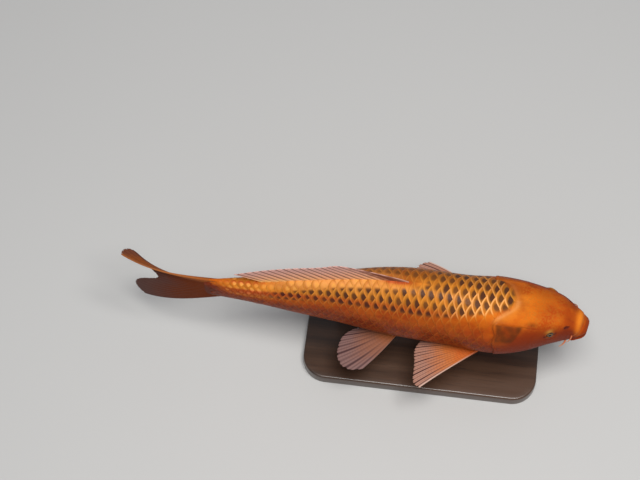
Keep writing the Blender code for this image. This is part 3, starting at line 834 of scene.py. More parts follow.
@dataclass(frozen=True)
class WoodFinish:
    """Dark polished wood with a straight grain along the base."""

    dark: Colour = (0.020, 0.010, 0.006)
    light: Colour = (0.075, 0.036, 0.019)

    def material(self) -> bpy.types.Material:
        """The base's material."""
        nodes = Nodes("dark_wood")
        warp = nodes.noise(9.0, 2.0, (0.35, 1.0, 1.0))
        bands = nodes.noise(60.0, 4.0, (0.06, 1.0, 1.0))
        pores = nodes.noise(900.0, 2.0, (0.03, 1.0, 1.0))
        grain = nodes.plus(nodes.times(bands, 0.7), nodes.times(warp, 0.5))
        colour = nodes.mix(nodes.step(grain, 0.42, 0.78), self.dark, self.light)
        colour = nodes.lay(colour, self.dark, nodes.step(pores, 0.58, 0.72), 0.6)
        normal = nodes.bump(pores, 0.00008, 0.35)
        roughness = nodes.plus(nodes.times(bands, 0.18), 0.24)
        return nodes.finish(colour, roughness, Normal=normal, Coat_Weight=0.3, Coat_Roughness=0.15)


@dataclass(frozen=True)
class SteelFinish:
    """Turned steel, brushed round the rod."""

    bright: Colour = (0.560, 0.560, 0.570)
    dull: Colour = (0.40, 0.40, 0.41)

    def material(self) -> bpy.types.Material:
        """The rods' material."""
        nodes = Nodes("steel")
        brush = nodes.noise(1500.0, 2.0, (0.04, 0.04, 1.0))
        smear = nodes.noise(60.0, 3.0)
        roughness = nodes.plus(nodes.times(smear, 0.18), 0.18)
        shade = nodes.lay(self.bright, self.dull, brush, 0.35)
        return nodes.finish(shade, roughness, Normal=nodes.bump(brush, 0.00004, 0.3), Metallic=1.0)


@dataclass(frozen=True)
class PadFinish:
    """Dark felt in the rods' cups."""

    dark: Colour = (0.030, 0.026, 0.024)
    light: Colour = (0.075, 0.066, 0.060)

    def material(self) -> bpy.types.Material:
        """The pads' material."""
        nodes = Nodes("felt")
        fuzz = nodes.noise(1400.0, 3.0)
        colour = nodes.mix(fuzz, self.dark, self.light)
        return nodes.finish(colour, 0.9, Normal=nodes.bump(fuzz, 0.0003, 0.6))


# --------------------------------------------------------------------------- skin


@dataclass
class Eye:
    """One eyeball: a ball with a slightly fuller front, round an axis that points out, up and forward."""

    form: FishForm
    side: Side
    t: float = 0.106
    y: float = 0.0565
    z: float = 0.0385
    radius: float = 0.0056
    forward: float = 0.22
    outward: float = 0.92
    upward: float = 0.26
    brow_lean: float = -0.15
    rings: int = 40
    around: int = 48

    @property
    def centre(self) -> np.ndarray:
        """The ball's centre in metres."""
        return self.form.place(self.t, self.side.value * self.y, self.z)

    @property
    def axis(self) -> np.ndarray:
        """Which way the eye looks."""
        return unit(np.array([self.forward, self.side.value * self.outward, self.upward]))

    @property
    def brow(self) -> np.ndarray:
        """The way from the eye's middle to its brow: up, square to the axis."""
        up = np.array([self.brow_lean, 0.0, 1.0])
        return unit(up - np.dot(up, self.axis) * self.axis)

    def seen_from(self, places: np.ndarray) -> Tuple[np.ndarray, ...]:
        """How places lie about the eye's axis, beside the way that it looks.

        Args:
            places: points in metres.

        Returns:
            Depth along the axis from the ball's middle, then reach, up and beside from the axis, in mm.
        """
        away = places - self.centre
        depth = away @ self.axis
        flat = away - depth[..., None] * self.axis
        reach, up = np.linalg.norm(flat, axis=-1) / MM, (flat @ self.brow) / MM
        return depth / MM, reach, up, np.sqrt(np.maximum(reach**2 - up**2, 0.0))

    def build(self, finish: bpy.types.Material) -> None:
        """A polar grid: rings from the pupil's middle to the back, each a circle round the axis."""
        polar = np.linspace(0.0, math.pi, self.rings)[:, None]
        turn = full_turn(self.around)[None, :]
        lateral = np.cross(self.axis, self.brow)
        flat = 1.0 - 0.030 * smooth(0.42, 0.62, polar) * smooth(1.10, 0.62, polar)
        reach = self.radius * flat * np.maximum(np.sin(polar), 1e-4)
        depth = self.radius * flat * np.cos(polar)
        aside, up = reach * np.cos(turn), reach * np.sin(turn)
        points = (self.centre + depth[..., None] * self.axis
                  + aside[..., None] * lateral + up[..., None] * self.brow)
        share = np.broadcast_to(polar / math.pi, points.shape[:2])
        node = f"eye_{self.side.word}"
        dress(make_rings(f"{node}_ball", points, finish, {"polar": share.ravel()}), "eye", node)


@dataclass(frozen=True)
class SkinGrid:
    """Where the skin's vertices lie before the folds move them.

    u numbers each one's ring, t, y and share are its fish coordinates, with share down from the back's ridge
    and unsigned, and places are in metres.
    """

    u: np.ndarray
    t: np.ndarray
    y: np.ndarray
    share: np.ndarray
    places: np.ndarray

    @property
    def left(self) -> np.ndarray:
        """1 on the fish's left, 0 on its right."""
        return (self.y > 0) * 1.0


@dataclass
class Skin:
    """One skin over mouth, head, gill covers, trunk and tail stalk, with the face's folds worked into it."""

    form: FishForm
    markings: Markings
    eyes: Sequence[Eye]
    first_ring: float = -0.060
    mouth_end: float = 0.045
    head_end: float = 0.272
    mouth_rings: int = 34
    head_rings: int = 196
    body_rings: int = 98
    around: int = 290
    bare_depth: float = 0.1
    coat_depth: float = 0.6
    gill_edge: Stations = (
        # share down, t of the gill cover's free edge
        (0.16, 0.232), (0.215, 0.250), (0.30, 0.254), (0.40, 0.252), (0.52, 0.249), (0.62, 0.243),
        (0.72, 0.229), (0.80, 0.208), (0.88, 0.178), (0.95, 0.150), (1.00, 0.142),
    )
    cheek_edge: Stations = (
        # share down, t of the groove between cheek and gill cover
        (0.30, 0.158), (0.42, 0.156), (0.54, 0.152), (0.66, 0.136), (0.78, 0.108), (0.90, 0.075),
    )
    gill_top: float = 0.215
    nostril_t: float = 0.057
    nostril_y: float = 0.0385

    def stations(self) -> np.ndarray:
        """Ring numbers: dense over the mouth and head, wider apart under the scales."""
        return np.concatenate([
            np.linspace(self.first_ring, self.mouth_end, self.mouth_rings, endpoint=False),
            np.linspace(self.mouth_end, self.head_end, self.head_rings, endpoint=False),
            np.linspace(self.head_end, 1.0 + self.form.tail_round, self.body_rings),
        ])

    @property
    def size(self) -> float:
        """The standard length in millimetres."""
        return self.form.standard_length / MM

    def folds(self, grid: SkinGrid) -> np.ndarray:
        """How far the skin stands out of the plain form, in metres.

        The gill cover stands proud and drops to a slit behind its edge; grooves part the cheek, lips and
        throat; nostrils are pits with a flap between them; rims stand round the eyes; and bare skin lies
        back by the bare depth and skin under the scales by the coat's, both in millimetres.
        """
        under_scales = smooth(-0.004, 0.005, grid.t - self.markings.front(grid.share, grid.left))
        height = -self.bare_depth - (self.coat_depth - self.bare_depth) * under_scales
        height = height + self.gill_relief(grid) + self.mouth_relief(grid)
        height = height + self.nostril_relief(grid)
        height = height * MM
        for eye in self.eyes:
            height = height + self.eye_relief(eye, grid.places)
        return height

    def behind_gill(self, t: np.ndarray, share: np.ndarray) -> np.ndarray:
        """How far behind the gill cover's slightly wavy free edge a place lies, in millimetres."""
        edge = spline(self.gill_edge, 1, share) + 0.0025 * np.sin(share * 34.0)
        return (t - edge) * self.size

    def gill_relief(self, grid: SkinGrid) -> np.ndarray:
        """The gill cover's proud edge, slit, soft rim, upper crease and the cheek's groove, in mm."""
        t, share = grid.t, grid.share
        behind = self.behind_gill(t, share)
        along = smooth(self.gill_top - 0.035, self.gill_top + 0.02, share)
        proud = 0.8 * np.exp(np.minimum(behind, 0) / 9.0)
        slit = -1.0 * np.exp(-np.maximum(behind, 0) / 3.2)
        cover = proud + (slit - proud) * smooth(-0.2, 0.9, behind)
        rim = -0.30 * bell(behind, -3.6, 0.8)
        near = smooth(-30.0, -14.0, behind)
        relief = along * (cover * near + rim * smooth(0.98, 0.80, share))
        above = (share - self.gill_top - 0.05 * smooth(0.20, 0.12, t)) * self.size * 0.30
        crease = -0.55 * bell(above, 0.6, 0.9) + 0.45 * bell(above, -1.6, 1.6)
        relief = relief + crease * smooth(0.135, 0.165, t) * smooth(0.246, 0.236, t)
        groove = (t - spline(self.cheek_edge, 1, share)) * self.size
        part = smooth(0.30, 0.38, share) * smooth(0.92, 0.84, share)
        return relief + part * (-0.28 * bell(groove, 0.0, 0.9) + 0.15 * bell(groove, 2.6, 2.2))

    def mouth_relief(self, grid: SkinGrid) -> np.ndarray:
        """Full lips with a groove behind them, the snout's bump, corner folds and throat creases, in mm."""
        u, t, y, share = grid.u, grid.t, grid.y, grid.share
        lip = 0.35 * bell(u, -0.006, 0.010)
        groove = -0.75 * bell(u, 0.0125, 0.0045)
        second = -0.35 * bell(u, 0.038, 0.0045) * smooth(0.25, 0.45, share) * smooth(0.80, 0.60, share)
        bump = 1.1 * bell(t, 0.027, 0.0085) * bell(y, 0.0, 0.030) * smooth(0.50, 0.30, share)
        flutes = 0.10 * np.sin(y * 900.0) * bell(u, -0.010, 0.012)
        jaw = -0.55 * bell(np.abs(y), 0.024, 0.0030) * smooth(0.74, 0.84, share)
        jaw = jaw * smooth(0.030, 0.050, t) * smooth(0.150, 0.120, t)
        cross = -0.30 * bell(t, 0.062, 0.0030) * smooth(0.82, 0.92, share)
        return lip + groove + second + bump + flutes + jaw + cross

    def nostril_relief(self, grid: SkinGrid) -> np.ndarray:
        """On each side two pits in a shallow hollow, with a raised flap between them, in millimetres."""
        ahead = (self.nostril_t - grid.t) * self.size
        aside = (np.abs(grid.y) - self.nostril_y - 0.60 * (grid.t - self.nostril_t)) * self.size
        hollow = -0.25 * bell(ahead, 0.0, 3.4) * bell(aside, 0.0, 2.2)
        rear = -1.9 * bell(ahead, -1.0, 2.0) * bell(aside, 0.0, 1.05)
        front = -1.2 * bell(ahead, 2.0, 1.1) * bell(aside, -0.1, 0.85)
        flap = 0.75 * bell(ahead, 1.3, 0.8) * bell(aside, -1.6, 0.9)
        return hollow + rear + front + flap

    def eye_relief(self, eye: Eye, places: np.ndarray) -> np.ndarray:
        """A socket under the ball, a raised rim that is fullest at the brow, and a crease round it, in m."""
        depth, reach, up, beside = eye.seen_from(places)
        brow = smooth(-0.35, 0.85, up / np.maximum(reach, 1e-6))
        inner = 4.55 - 0.65 * brow
        socket = -3.2 * smooth(inner + 0.1, inner - 0.8, reach)
        rim = (0.35 + 0.75 * brow) * bell(reach, 5.3, 1.1 + 0.6 * brow)
        mound = 1.25 * bell(up, 6.3, 2.6) * bell(beside, 0.0, 5.6)
        crease = -0.30 * bell(reach, 8.2, 0.8) * (1.0 - brow)
        fringe = smooth(14.0, 10.5, reach) * (depth > -6.0)
        return (socket + rim + mound + crease) * fringe * MM

    def marks(self, grid: SkinGrid) -> Dict[str, np.ndarray]:
        """The numbers that the skin's finish reads at every vertex: tones, face and spots."""
        u, t, y, share = grid.u, grid.t, grid.y, grid.share
        crown = smooth(0.34, 0.16, share) * smooth(0.055, 0.085, t) * smooth(0.205, 0.165, t)
        bump = bell(t, 0.027, 0.008) * bell(y, 0.0, 0.033) * smooth(0.40, 0.22, share)
        rim = 0.42 * bell(u, 0.018, 0.004) * smooth(0.18, 0.34, share) * smooth(0.58, 0.48, share)
        lips = np.maximum(rim, bump)
        signed = share * (2 * grid.left - 1)
        muzzle = 0.38 * bell(t, 0.048, 0.022) * smooth(0.80, 0.55, share) * smooth(0.006, 0.020, np.abs(y))
        # Painted shade over the left side of the head, which faces away from the light, fading in over the
        # crown.
        left_head_shade = smooth(-0.17, 0.0, signed) * smooth(0.170, 0.110, t) * smooth(0.9, 0.6, share)
        muzzle = muzzle + 0.32 * left_head_shade
        # The cheeks' red is partly their own colour and partly painted shade on the side-facing lower head.
        cheeks = np.clip(muzzle + 0.88 * smooth(0.17, 0.36, share) * smooth(0.26, 0.20, t), 0, 1)
        cheeks = np.maximum(cheeks, 0.62 * smooth(0.013, 0.002, u)) * (1.0 - lips)
        slanted = t - 0.15 * (share - 0.24)
        spot = smooth(self.gill_top - 0.002, self.gill_top + 0.012, share) * smooth(0.42, 0.37, share)
        spot = spot * smooth(0.181, 0.190, slanted) * smooth(0.254, 0.246, t)
        streak = bell(t + 0.16 * (share - 0.27), 0.2250, 0.0085) * bell(share, 0.285, 0.045)
        spot = spot * (0.95 - 0.55 * streak) * (1.0 - 0.75 * grid.left)
        # Painted shade in the slit behind the gill cover's free edge.
        slit = bell(self.behind_gill(t, share), 0.9, 1.0)
        slit = slit * smooth(self.gill_top - 0.03, self.gill_top + 0.02, share)
        temple = 0.62 * bell(t, 0.158, 0.011) * bell(share, 0.198, 0.028)
        pits = np.clip(-self.nostril_relief(grid) / 0.8, 0, 1)
        brow, corners = np.zeros_like(t), np.zeros_like(t)
        for eye in self.eyes:
            depth, reach, up, beside = eye.seen_from(grid.places)
            above = up / np.maximum(reach, 1e-6)
            near = depth > -4.0
            lid = bell(up, 5.9, 1.9) * bell(beside, 0.0, 4.6)
            ring = bell(reach, 4.9, 1.0) * (0.20 + 0.35 * smooth(-0.2, 0.6, above))
            brow = np.maximum(brow, near * np.maximum(lid, ring))
            # Painted shade at the eye's front and back corners and below it.
            corner = 0.80 * bell(up, -0.8, 1.8) * bell(beside, 6.2, 2.2)
            under = 0.30 * bell(up, -6.4, 1.8) * bell(beside, 0.0, 5.0)
            corners = np.maximum(corners, near * np.maximum(corner, under))
        # Painted shade inside the mouth and in the nostril pits.
        cavity = np.maximum(smooth(-0.028, -0.036, u), 0.85 * pits)
        cavity = np.maximum(cavity, corners)
        patch = np.clip(spot + temple + 0.35 * slit, 0, 1)
        return {
            "tones": self.markings.tones(t, share, grid.left).reshape(-1, 3),
            "face": stacked(crown, lips, cheeks).reshape(-1, 3),
            "spots": stacked(patch, brow, cavity).reshape(-1, 3),
        }

    def build(self, finish: bpy.types.Material) -> None:
        """Rings from inside the mouth to the root of the tail fin, each a closed loop, moved by the folds."""
        u = self.stations()[:, None]
        angle = np.linspace(-math.pi / 2, 1.5 * math.pi, self.around, endpoint=False)[None, :]
        u, angle = np.broadcast_arrays(u, angle)
        t, y, z = self.form.ring(u, angle)
        share = 1.0 - np.abs(angle + math.pi / 2 - math.pi * 2 * (angle > math.pi / 2)) / math.pi
        places = self.form.place(t, y, z)
        grid = SkinGrid(u, t, y, share, places)
        closed = np.concatenate([places[:, -1:], places, places[:, :1]], axis=1)
        around = (closed[:, 2:] - closed[:, :-2]) / 2
        outward = unit(np.cross(around, np.gradient(places, axis=0)))
        if outward[len(outward) // 2, self.around // 2, 2] < 0:
            outward = -outward
        moved = places + outward * self.folds(grid)[..., None]
        piece = make_rings("skin", moved, finish, self.marks(grid))
        dress(piece, "body_skin", "head", "mouth", "gill_cover_left", "gill_cover_right", "trunk_front",
              "trunk_rear", "tail_stalk")


# --------------------------------------------------------------------------- scales


@dataclass
class ScaleCoat:
    """Overlapping scales in staggered rows along the body.

    Scale p of row j sits at t(p), where each step is the spacing there, and at share 0.5 + j / rows. Every
    other row lies half a step back. A scale's own along is in steps from its middle and its across in rows.
    There are 34 along the lateral line. Front, rear and slant are in steps from a scale's middle, and sink,
    start, lift, dome and plate are heights in metres.
    """

    form: FishForm
    skin_map: SkinMap
    markings: Markings
    first_t: float = 0.172
    spacing: float = 0.0240
    shortening: float = 3.2e-8
    rows: float = 12.0
    rows_at_tail: float = 9.4
    step_count: int = 38
    last_t: float = 1.004
    along_count: int = 9
    across_count: int = 15
    reach_across: float = 1.06
    front: float = -0.64
    front_slope: float = 0.50
    rear: float = 0.53
    slant: float = 0.10
    sink: float = 0.62 * MM
    start: float = 0.06 * MM
    lift: float = 0.40 * MM
    dome: float = 0.10 * MM
    plate: float = 0.18 * MM
    back_end: float = 0.27
    flank_end: float = 0.72
    seed: int = 7

    def station(self, p: np.ndarray) -> np.ndarray:
        """t after p steps: even ones along the trunk, shortening with the third power towards the tail."""
        return self.first_t + self.spacing * p - self.shortening * p**4

    def row_count(self, t: np.ndarray) -> np.ndarray:
        """Rows in half a ring: fewer as the body thins behind the back fin's start."""
        return self.rows - (self.rows - self.rows_at_tail) * smooth(0.62, 0.97, t)

    def lattice(self) -> Dict[str, np.ndarray]:
        """Every scale's step, row and side, without those over the head or past the ridge and belly lines."""
        steps = np.arange(self.step_count)
        half = int(self.rows // 2)
        rows = np.arange(-half, half + 1)
        p, j, side = (a.ravel() for a in np.meshgrid(steps, rows, (1, -1), indexing="ij"))
        p = p + 0.5 * (j % 2)
        t = self.station(p)
        count = self.row_count(t)
        share = 0.5 + j / count
        regular = count > self.rows - 0.02
        middle = (np.abs(share) < 0.01) | (np.abs(share - 1) < 0.01)
        inside = np.where(regular, (share > -0.01) & (share < 1.01) & ~(middle & (side < 0)),
                          (share > 0.30 / count) & (share < 1 - 0.30 / count))
        front = self.markings.front(np.clip(share, 0, 1), (side > 0) * 1.0)
        keep = inside & (t > front + 0.002) & (t < self.last_t)
        return {"p": p[keep], "j": j[keep], "side": side[keep]}

    def margin(self, across: np.ndarray, roundness: np.ndarray) -> np.ndarray:
        """The free edge's place along: half a step at the middle, curving forward to the neighbours."""
        return 0.03 + 0.50 * (1.0 - np.abs(across) ** roundness)

    def plates(self, lattice: Dict[str, np.ndarray]) -> Tuple[np.ndarray, np.ndarray, Dict[str, np.ndarray]]:
        """Every scale as a thin closed plate, bent to the body, lying low in front and lifted behind.

        Its height above the skin grows with along, so each scale's rear lies over the front of those behind
        it, and a shallow dome adds to it.

        Args:
            lattice: the scales wanted.

        Returns:
            Points by scale and vertex, their OFBake places, and the marks by name.
        """
        chance = np.random.default_rng(self.seed)
        p0, j0, side = (lattice[key][:, None, None] for key in ("p", "j", "side"))
        count = len(p0)
        tone, skew = chance.random((2, count, 1, 1))
        roundness = 1.6 + 0.25 * chance.random((count, 1, 1))
        extra = 0.04 * (chance.random((count, 1, 1)) - 0.5)
        slant = self.slant * (chance.random((count, 1, 1)) - 0.5)
        across = np.linspace(-self.reach_across, self.reach_across, self.across_count)[None, None, :]
        down = np.linspace(0.0, 1.0, self.along_count)[None, :, None]
        rear = self.margin(np.minimum(np.abs(across), 1.0), roundness) + extra + slant * across
        front = np.minimum(self.front + self.front_slope * np.abs(across), rear - 0.10)
        along = front + (rear - front) * down
        across = np.broadcast_to(across, np.broadcast_shapes(along.shape, across.shape))
        t = self.station(p0 + along)
        rows = self.row_count(t)
        tau = side * (0.5 + j0 / rows) + across / rows
        pinched = rows < self.rows - 0.02
        own_side = np.where(side > 0, np.clip(tau, 0.0, 1.0), np.clip(tau, -1.0, 0.0))
        tau = np.where(pinched, own_side, tau)
        places, outward = self.skin_map.sample(t, tau)
        rise = (along - self.front) / (self.rear - self.front)
        dome = self.dome * (1.0 - across**2) * (1.0 - rise)
        height = -self.sink + self.start + self.lift * rise**0.9 + dome
        top = places + outward * height[..., None]
        bottom = places + outward * (height - self.plate)[..., None]
        wrapped = (tau + 1.0) % 2.0 - 1.0
        share, left = np.abs(wrapped), (wrapped > 0) * 1.0
        dark = self.darkness(t, share, left, tone)
        net = self.paleness(t, share, left)
        pore = (j0 == 0) * 1.0
        # Painted glints on the scales of the tail stalk and along the ridge band.
        glint_mask = smooth(0.82, 0.89, t) * smooth(1.00, 0.93, t) * smooth(0.44, 0.30, share)
        # The ridge band, where painted glints are laid.
        ridge_highlight = smooth(0.0, -0.03, share - spline(self.markings.ridge_band, 1, t))
        glints = 0.80 * ridge_highlight * smooth(0.47, 0.58, t) * smooth(0.90, 0.80, t)
        glint_mask = np.maximum(glint_mask, glints) * (0.15 + 0.80 * tone)
        tones = self.markings.tones(t, share, left)
        warmth = smooth(0.02, 0.35, tones[..., 1:2]) * tones[..., :1] * (1.0 - left[..., None])
        marks = {
            "tones": tones,
            "scale_warmth": np.repeat(warmth, 3, axis=-1),
            "scale_place": stacked(along, rear - along, across * side),
            "scale_marks": stacked(dark, net, tone),
            "scale_extra": stacked(pore, glint_mask, skew),
        }
        flat = {name: self.both(values) for name, values in marks.items()}
        spot = self.patches(p0, side * (self.rows / 2 + 0.5 + j0), down, across)
        points = np.stack([top, bottom], axis=1).reshape(count, -1, 3)
        return points, spot, flat

    @staticmethod
    def both(values: np.ndarray) -> np.ndarray:
        """The same marks for a plate's upper and lower face."""
        return np.stack([values, values], axis=1).reshape(len(values), -1, values.shape[-1])

    def patches(self, p0: np.ndarray, row: np.ndarray, down: np.ndarray, across: np.ndarray) -> np.ndarray:
        """Each scale's own patch at its place on the skin's unwrap: steps along the map, rows up it.

        A cell is one step by one row; a patch takes 0.90 of its length, 0.68 of its breadth for the upper
        face and 0.10 for the under one.

        Args:
            p0: the scale's step.
            row: the scale's signed row, from the back's ridge.
            down: share from the plate's front to its free edge.
            across: rows from the plate's middle.

        Returns:
            Places on the map, the upper face's before the under face's.
        """
        half = self.rows + 1.0
        aside = across / (2 * self.reach_across)
        u = (p0 + 0.46 + 0.90 * (down - 0.5)) / (self.step_count + 1.0)
        v_top = (row + half - 0.10 + 0.68 * aside) / (2 * half)
        v_under = (row + half + 0.38 + 0.10 * aside) / (2 * half)
        faces = [stacked(u, v) for v in (v_top, v_under)]
        return np.stack(faces, axis=1).reshape(len(p0), -1, 2)

    def darkness(self, t: np.ndarray, share: np.ndarray, left: np.ndarray, tone: np.ndarray) -> np.ndarray:
        """How dark the scales' middles are: between the ridge's gold band and the lowest dark scales."""
        above = smooth(0.022, -0.022, self.markings.below_cores(t, share, left))
        below = smooth(-0.02, 0.02, share - spline(self.markings.ridge_band, 1, t))
        entry = smooth(-0.004, 0.014, t - self.markings.front(share, left))
        entry = entry * (1.0 - 0.40 * left * smooth(0.36, 0.46, t))
        return np.clip(above * below * entry * smooth(0.91, 0.82, t) * (0.74 + 0.40 * tone), 0.0, 1.0)

    def paleness(self, t: np.ndarray, share: np.ndarray, left: np.ndarray) -> np.ndarray:
        """How pale the free edges are: a clear net at the shoulder, faint on the flank and the tail stalk."""
        near_cores = smooth(0.07, -0.02, self.markings.below_cores(t, share, left))
        strong = near_cores * (0.40 + 0.52 * smooth(0.44, 0.27, t))
        entry = smooth(0.0, 0.022, t - self.markings.front(share, left)) * (1.0 - 0.35 * left)
        return np.clip((strong * smooth(1.0, 0.85, t) + 0.10 * smooth(1.0, 0.94, t)) * entry, 0.0, 1.0)

    def build(self, finish: bpy.types.Material) -> None:
        """Parts the coat into back, flanks and belly and makes a piece of each."""
        lattice = self.lattice()
        share = 0.5 + lattice["j"] / self.row_count(self.station(lattice["p"]))
        flank = (share >= self.back_end) & (share < self.flank_end)
        regions = {
            "scales_back": share < self.back_end,
            "scales_flank_left": flank & (lattice["side"] > 0),
            "scales_flank_right": flank & (lattice["side"] < 0),
            "scales_belly": share >= self.flank_end,
        }
        points, spots, marks = self.plates(lattice)
        face = sheet_quads(self.along_count, self.across_count)
        for name, chosen in regions.items():
            number = int(chosen.sum())
            step = 2 * self.along_count * self.across_count
            quads = (face[None] + (np.arange(number) * step)[:, None, None]).reshape(-1, 4)
            own = {mark: values[chosen].reshape(-1, values.shape[-1]) for mark, values in marks.items()}
            piece = make_piece(name, points[chosen].reshape(-1, 3), quads, finish, own,
                               bake=spots[chosen].reshape(-1, 2))
            LOG.info("%s holds %d scales", name, number)
            dress(piece, "body_skin")


# --------------------------------------------------------------------------- fins


@dataclass
class Fin:
    """A fan of rays from a base line.

    Ray a, from 0 at the leading ray to 1 at the last, leaves the base at its angle between straight back and
    the out direction; bow turns it further as it runs out, and cup bends it along the fan's own normal. Root
    is the run at which the sheet starts, inside the body. Thickness, edge and heights are in metres, notch
    is a share of a ray's length, and spans are runs.
    """

    form: FishForm
    name: str
    rays: int
    base_front: Point
    base_rear: Point
    out: Point
    angles: Stations
    lengths: Stations
    slot: str
    nodes: Tuple[str, ...]
    bow: float = 0.0
    cup: Stations = ((0.0, 0.0), (1.0, 0.0))
    thickness: float = 0.0030
    edge: float = 0.0007
    per_ray: int = 12
    rows: int = 44
    root: float = -0.04
    web_start: float = 0.34
    unevenness: float = 0.06
    lead_reach: float = 0.8
    fork_span: Span = (0.38, 0.95)
    fork_reach: float = 0.25
    notch: float = 0.016
    ray_height: float = 0.55 * MM
    joint_height: float = 0.05 * MM
    joint_rate: float = 150.0

    def points(self, share: np.ndarray, run: np.ndarray) -> np.ndarray:
        """The fan's middle surface in metres: base point plus length times run along the ray's direction."""
        back = np.array((1.0, 0.0, 0.0))
        out = unit(np.array(self.out))
        angle = np.radians(spline(self.angles, 1, share)) + math.radians(self.bow) * run
        length = spline(self.lengths, 1, share) * run
        base = np.array(self.base_front) + np.subtract(self.base_rear, self.base_front) * share[..., None]
        bend = spline(self.cup, 1, share) * run**2
        spot = (base + (length * np.cos(angle))[..., None] * back + (length * np.sin(angle))[..., None] * out
                + bend[..., None] * np.cross(back, out))
        return self.form.place(spot[..., 0], spot[..., 1], spot[..., 2])

    def build(self, finish: bpy.types.Material) -> None:
        """A closed sheet: thick at the root, ridged by rays that fork once, with a notched margin."""
        columns = (self.rays - 1) * self.per_ray + 1
        share, run = np.meshgrid(np.linspace(0.0, 1.0, columns), np.linspace(self.root, 1.0, self.rows))
        phase = share * (self.rays - 1)
        offset = phase - np.round(phase)
        gap = np.abs(offset)
        out = np.clip(run, 0.0, 1.0)
        forked = smooth(*self.fork_span, out)
        fork = self.fork_reach * forked
        ridge = bell(gap, 0.0, 0.20) * (fork < 0.02) + bell(gap - fork, 0.0, 0.16) * (fork >= 0.02)
        between = smooth(self.web_start, self.web_start + 0.14, gap)
        notch = (self.notch * between + 0.006 * bell(gap, 0.0, 0.08) * forked) * out**6
        middle = self.points(share, run * (1.0 - notch))
        normal = unit(np.cross(np.gradient(middle, axis=1), np.gradient(middle, axis=0)))
        uneven = 1.0 - self.unevenness * (1.0 - np.sin(np.floor(phase) * 2.4))
        web = self.edge + (self.thickness - self.edge) * (1.0 - out) ** 2.6
        leading = smooth(1.6, 0.2, phase) * (1.0 - out) ** 0.5 * 0.9 * MM
        joints = self.joint_height * np.sin(out * self.joint_rate) * smooth(0.45, 0.7, out)
        full = web * 0.80 + (self.ray_height * (1.0 - 0.55 * out) + joints) * ridge + leading
        full = full * (1.0 - 0.55 * smooth(0.985, 1.0, out))
        half = (full / 2)[..., None] * normal
        points = np.concatenate([(middle + half).reshape(-1, 3), (middle - half).reshape(-1, 3)])
        lead = 0.8 * smooth(self.lead_reach, self.lead_reach * 0.2, phase) * smooth(0.05, 0.5, out)
        inner = bell(gap, 0.0, 0.08) * smooth(0.50, 0.85, out)
        place = stacked(out, between * uneven, lead).reshape(-1, 3)
        rays = stacked(inner, out * self.joint_rate, share).reshape(-1, 3)
        marks = {"fin_place": np.tile(place, (2, 1)), "fin_rays": np.tile(rays, (2, 1))}
        quads = sheet_quads(self.rows, columns)
        dress(make_piece(self.name, points, quads, finish, marks), self.slot, *self.nodes)


def median_fins(form: FishForm) -> Dict[str, Fin]:
    """The back, anal and tail fins by name."""
    lean = math.radians(4)
    return {
        "back": Fin(form, "back_fin", 19, (0.455, 0.0, 0.121), (0.860, 0.0, 0.052),
                    (0.0, math.sin(lean), math.cos(lean)),
                    angles=((0.0, 24), (0.15, 27), (0.5, 32), (0.8, 27), (1.0, 19)),
                    lengths=((0.0, 0.052), (0.06, 0.102), (0.14, 0.146), (0.3, 0.140), (0.6, 0.117),
                             (1.0, 0.088)),
                    slot="fin", nodes=("dorsal_fin",), root=-0.10, web_start=0.26),
        "anal": Fin(form, "anal_fin_fan", 8, (0.765, 0.0, -0.071), (0.845, 0.0, -0.055), (0.0, 0.0, -1.0),
                    angles=((0.0, 16), (0.5, 13), (1.0, 10)),
                    lengths=((0.0, 0.072), (0.2, 0.098), (0.6, 0.089), (1.0, 0.064)),
                    slot="fin", nodes=("anal_fin",), thickness=0.0034, root=-0.12),
        "tail": Fin(form, "tail_fin", 19, (0.975, 0.0, 0.038), (0.975, 0.0, -0.047), (0.0, 0.0, 1.0),
                    angles=((0.0, 8.5), (0.25, 5.5), (0.5, 0), (0.75, -14), (1.0, -25)),
                    lengths=((0.0, 0.273), (0.1, 0.282), (0.2, 0.269), (0.32, 0.222), (0.5, 0.180),
                             (0.62, 0.222), (0.75, 0.260), (0.88, 0.269), (1.0, 0.256)),
                    cup=((0.0, 0.020), (0.125, -0.004), (0.22, -0.020), (0.35, -0.010), (0.5, 0.0),
                         (1.0, 0.0)),
                    slot="tail_fin", nodes=("tail_fin_upper", "tail_fin_lower"), thickness=0.0050,
                    rows=60, root=-0.02),
    }


def pectoral_fin(form: FishForm, side: Side, front: float, rise: float, bow: float, cup: float,
                 angles: Stations, lengths: Stations) -> Fin:
    """A pectoral fin, spread outwards from the shoulder.

    Args:
        form: the fish's form.
        side: the fish's own side.
        front: the leading ray's t.
        rise: how far up the out direction points.
        bow: the turn along the rays, in degrees.
        cup: the downward bend at the margin.
        angles: each ray's angle from straight back.
        lengths: each ray's length.

    Returns:
        The fin.
    """
    sign = side.value
    base_front, base_rear = (front, sign * 0.062, -0.066), (0.300, sign * 0.048, -0.082)
    return Fin(form, f"pectoral_{side.word}", 15, base_front, base_rear, (0.0, sign * 1.0, rise),
               angles=angles, lengths=lengths, slot="paired_fin",
               nodes=(f"pectoral_fin_{side.word}",), bow=bow, cup=((0.0, -sign * cup), (1.0, -sign * cup)),
               thickness=0.0034, rows=60, web_start=0.24, unevenness=0.28, lead_reach=0.55)


